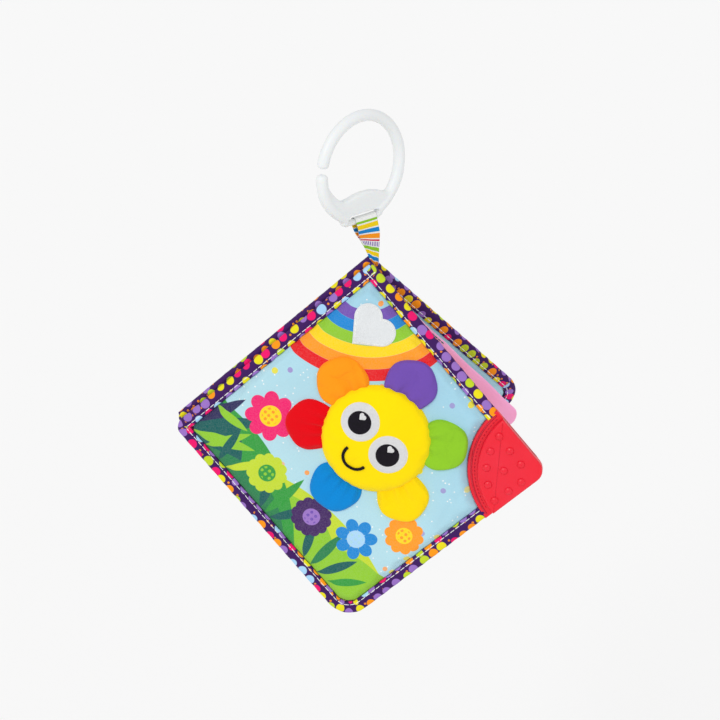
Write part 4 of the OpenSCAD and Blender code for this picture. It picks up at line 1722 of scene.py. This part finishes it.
@dataclass
class Teether:
    """The red rubber corner with its bevels, flange and nubs."""

    bevel: float = 1.5
    flange_t: float = 3.95
    rib_r: float = 44.6
    rib_foot: float = 2.2
    rib_arc: float = 84.4
    sewn_r: float = 42.7
    nub_r: float = 2.4
    broad: float = 60.0

    def quarter(self, r: float, low: float, high: float, tip: float, soft: float) -> bpy.types.Object:
        """Makes a quarter disc whose tip is the cover's corner.

        Args:
            r: Its radius.
            low: The height of its inner face.
            high: The height of its outer face.
            tip: The radius of its tip.
            soft: The width of its bevels.

        Returns:
            The quarter disc.
        """
        clear_selection()
        bpy.ops.mesh.primitive_cylinder_add(
            vertices=192, radius=r * MM, depth=(high - low) * MM,
            location=(COVER_W * MM, COVER_H * MM, (high + low) / 2 * MM),
        )
        part = bpy.context.object
        bpy.ops.object.transform_apply(location=True)
        corner = Vector((COVER_W * MM, COVER_H * MM, 0))
        bpy.ops.object.mode_set(mode="EDIT")
        for axis in ((1, 0, 0), (0, 1, 0)):
            bpy.ops.mesh.select_all(action="SELECT")
            bpy.ops.mesh.bisect(plane_co=corner, plane_no=axis, clear_outer=True, use_fill=True)
        bpy.ops.mesh.select_all(action="SELECT")
        bpy.ops.mesh.remove_doubles(threshold=MERGE_WITHIN * MM)
        pick_edges(lambda e: all((p.co.xy - corner.xy).length < 1e-5 for p in e.verts))
        bpy.ops.mesh.bevel(offset=tip * MM, segments=12, affect="EDGES")
        pick_edges(lambda e: len(e.link_faces) == 2 and e.calc_face_angle(0) > 1.0
                   and abs(e.verts[0].co.z - e.verts[1].co.z) < 1e-6)
        bpy.ops.mesh.bevel(offset=soft * MM, segments=4, affect="EDGES")
        face_outwards(part)
        return part

    def rib(self) -> bpy.types.Object:
        """Makes the raised line that follows the flange's arc."""
        clear_selection()
        at = Vector((COVER_W - self.rib_r, COVER_H - self.rib_foot, self.flange_t)) * MM
        bpy.ops.mesh.primitive_circle_add(
            vertices=12, radius=0.55 * MM, location=at, rotation=(math.pi / 2, 0, 0)
        )
        rib = bpy.context.object
        bpy.ops.object.transform_apply(location=True, rotation=True)
        bpy.ops.object.mode_set(mode="EDIT")
        bpy.ops.mesh.select_all(action="SELECT")
        bpy.ops.mesh.spin(
            steps=64, angle=math.radians(-self.rib_arc), axis=(0, 0, 1),
            center=(COVER_W * MM, COVER_H * MM, self.flange_t * MM),
        )
        face_outwards(rib)
        return rib

    def nubs(self) -> list[bpy.types.Object]:
        """Makes one nub and copies it to each of its places."""
        clear_selection()
        bpy.ops.mesh.primitive_uv_sphere_add(segments=28, ring_count=14, radius=self.nub_r * MM)
        model = bpy.context.object
        model.scale = (1.0, 1.0, 0.62)
        bpy.ops.object.transform_apply(scale=True)
        copies = []
        for radius, count, first, last in NUB_ROWS:
            for n in range(count):
                a = math.radians(180 + first + (last - first) * n / (count - 1))
                copy = model.copy()
                copy.data = model.data.copy()
                bpy.context.scene.collection.objects.link(copy)
                spot = (COVER_W + radius * math.cos(a), COVER_H + radius * math.sin(a), TEETHER_T - 0.15)
                copy.location = Vector(spot) * MM
                copies.append(copy)
        bpy.data.objects.remove(model)
        return copies

    def build(self) -> bpy.types.Object:
        """Makes the teether.

        Returns:
            The teether, in place.
        """
        body = self.quarter(TEETHER_R - FLANGE_W, 0.0, TEETHER_T, TIP_R, self.bevel)
        flange = self.quarter(TEETHER_R, 0.0, self.flange_t, TIP_R + 3, 0.6)
        teether = join("teether_rubber", [body, flange, self.rib(), *self.nubs()])
        place = PLACES["front"]
        settle(teether, place, rubber(), plain("flange_rubber", Hue.BRICK, RUBBER, Hue.CORAL))
        for face in teether.data.polygons:
            spot = face.center / MM - place.origin
            u, v, w = spot.dot(place.x), spot.dot(place.y), spot.dot(place.z)
            far = math.hypot(u - COVER_W, v - COVER_H)
            face.material_index = 1 if far > TEETHER_R - FLANGE_W - 0.1 and w < 5 else 0
            face.use_smooth = face.area < self.broad * MM * MM
        return finish_piece(teether, Body.FRONT, ["teether_corner"])

    def sew(self, teether: bpy.types.Object, thread: bpy.types.Material) -> None:
        """Sews the flange down."""
        path = []
        for n in range(90):
            a = math.radians(184 + 82 * n / 89)
            path.append((COVER_W + self.sewn_r * math.cos(a), COVER_H + self.sewn_r * math.sin(a)))
        line = surface_line(tree_of(teether), PLACES["front"], path)
        row = stitches("flange_stitches", line, 1.7, 0.6, 0.5, thread)
        finish_piece(row, Body.FRONT)


def rubber() -> bpy.types.Material:
    """Makes the teether's rubber, a little worn and dusty in random patches."""
    paint = Paint("teether_rubber")
    dust = paint.noise(130.0, 4.0).fade(0.5, 0.9) * 0.16
    cloud = paint.noise(30.0, 2.0).fade(0.35, 0.75) * 0.3
    colour = paint.blend(cloud, Hue.CORAL.linear, (0.83, 0.02, 0.06, 1.0))
    return dress(paint, paint.blend(dust, colour, (0.92, 0.04, 0.07, 1.0)), RUBBER)


# ---- The studio ----


@dataclass
class Studio:
    """A pale floor far below, soft light and the photograph's camera."""

    floor_z: float = -1.0
    paper: tuple[float, float, float] = (0.985, 0.985, 0.985)
    eye: tuple[float, float, float] = (-0.0007, -0.9112, 0.2583)
    look: tuple[float, float, float] = (0.0, 0.915, -0.4036)
    sky: float = 0.72
    sun: float = 1.0

    def floor(self) -> None:
        """Lays the floor."""
        clear_selection()
        bpy.ops.mesh.primitive_grid_add(
            x_subdivisions=8, y_subdivisions=8, size=60, location=(0, 0, self.floor_z)
        )
        floor = bpy.context.object
        floor.name = "studio_floor"
        paint = Paint("studio_paper")
        tone = (paint.noise(0.6, 2.0) - 0.5) * 0.004 + 1.0
        shader = paint.add("ShaderNodeBsdfPrincipled", None, {
            "Base Color": paint.shade(self.paper, tone), "Roughness": 0.95, "Specular IOR Level": 0.0,
        })[0]
        paint.add("ShaderNodeOutputMaterial", None, {0: shader})
        coat(floor, paint.material)

    def lights(self) -> None:
        """Sets the even sky and the soft key and fill."""
        world = bpy.data.worlds.new("studio_light")
        world.use_nodes = True
        ground = world.node_tree.nodes["Background"]
        ground.inputs[0].default_value = (1.0, 1.0, 1.0, 1.0)
        ground.inputs[1].default_value = self.sky
        bpy.context.scene.world = world
        for name, energy, angle, turn in (
            ("key", self.sun, 25, (math.radians(52), 0, math.radians(-32))),
            ("fill", self.sun * 0.25, 60, (math.radians(62), 0, math.radians(48))),
        ):
            lamp = bpy.data.lights.new(name, "SUN")
            lamp.energy, lamp.angle = energy, math.radians(angle)
            holder = bpy.data.objects.new(name, lamp)
            holder.rotation_euler = turn
            bpy.context.scene.collection.objects.link(holder)

    def camera(self) -> None:
        """Places the camera as the photograph's."""
        data = bpy.data.cameras.new("photo_camera")
        data.lens, data.sensor_width, data.sensor_fit = 85.0, 36.0, "HORIZONTAL"
        holder = bpy.data.objects.new("photo_camera", data)
        holder.location = self.eye
        holder.rotation_euler = Vector(self.look).to_track_quat("-Z", "Y").to_euler()
        bpy.context.scene.collection.objects.link(holder)
        bpy.context.scene.camera = holder
        bpy.context.scene.view_settings.view_transform = "Standard"


def main() -> None:
    """Builds the book and its studio, piece by piece."""
    logging.basicConfig(level=logging.INFO, format="%(name)s: %(message)s")
    studio = Studio()
    studio.camera()
    studio.lights()
    white = plain("white_thread", Hue.WHITE, THREAD)
    ClipRing().build()
    Ribbon().build()
    dotted = binding_cloth()
    prints = [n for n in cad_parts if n.startswith("print_")]
    front = CoverPad("front", Body.FRONT, True, "sky_cloth", [
        "front_outer_panel", "front_wadding", "front_crinkle_film", "front_lining", *prints])
    front_pad = front.build(picture_cloth(), plain("lining_cloth", Hue.CREAM, CLOTH))
    back = CoverPad("back", Body.BACK, False, "aqua_cloth", [
        "back_outer_panel", "back_wadding", "back_crinkle_film", "back_inner_panel"])
    back.build(back_cloth(), plain("aqua_cloth", Hue.AQUA, CLOTH))
    Binding("front", Body.FRONT, True).build(dotted, white)
    Binding("back", Body.BACK, False).build(dotted, white)
    SpineCloth().build(dotted)
    Page().build(plain("edge_thread", Hue.TEAL, THREAD))
    Flower().build()
    Patch().build(front_pad, white)
    teether = Teether()
    teether.sew(teether.build(), plain("red_thread", Hue.BRICK, THREAD))
    studio.floor()


if __name__ == "__main__":
    main()
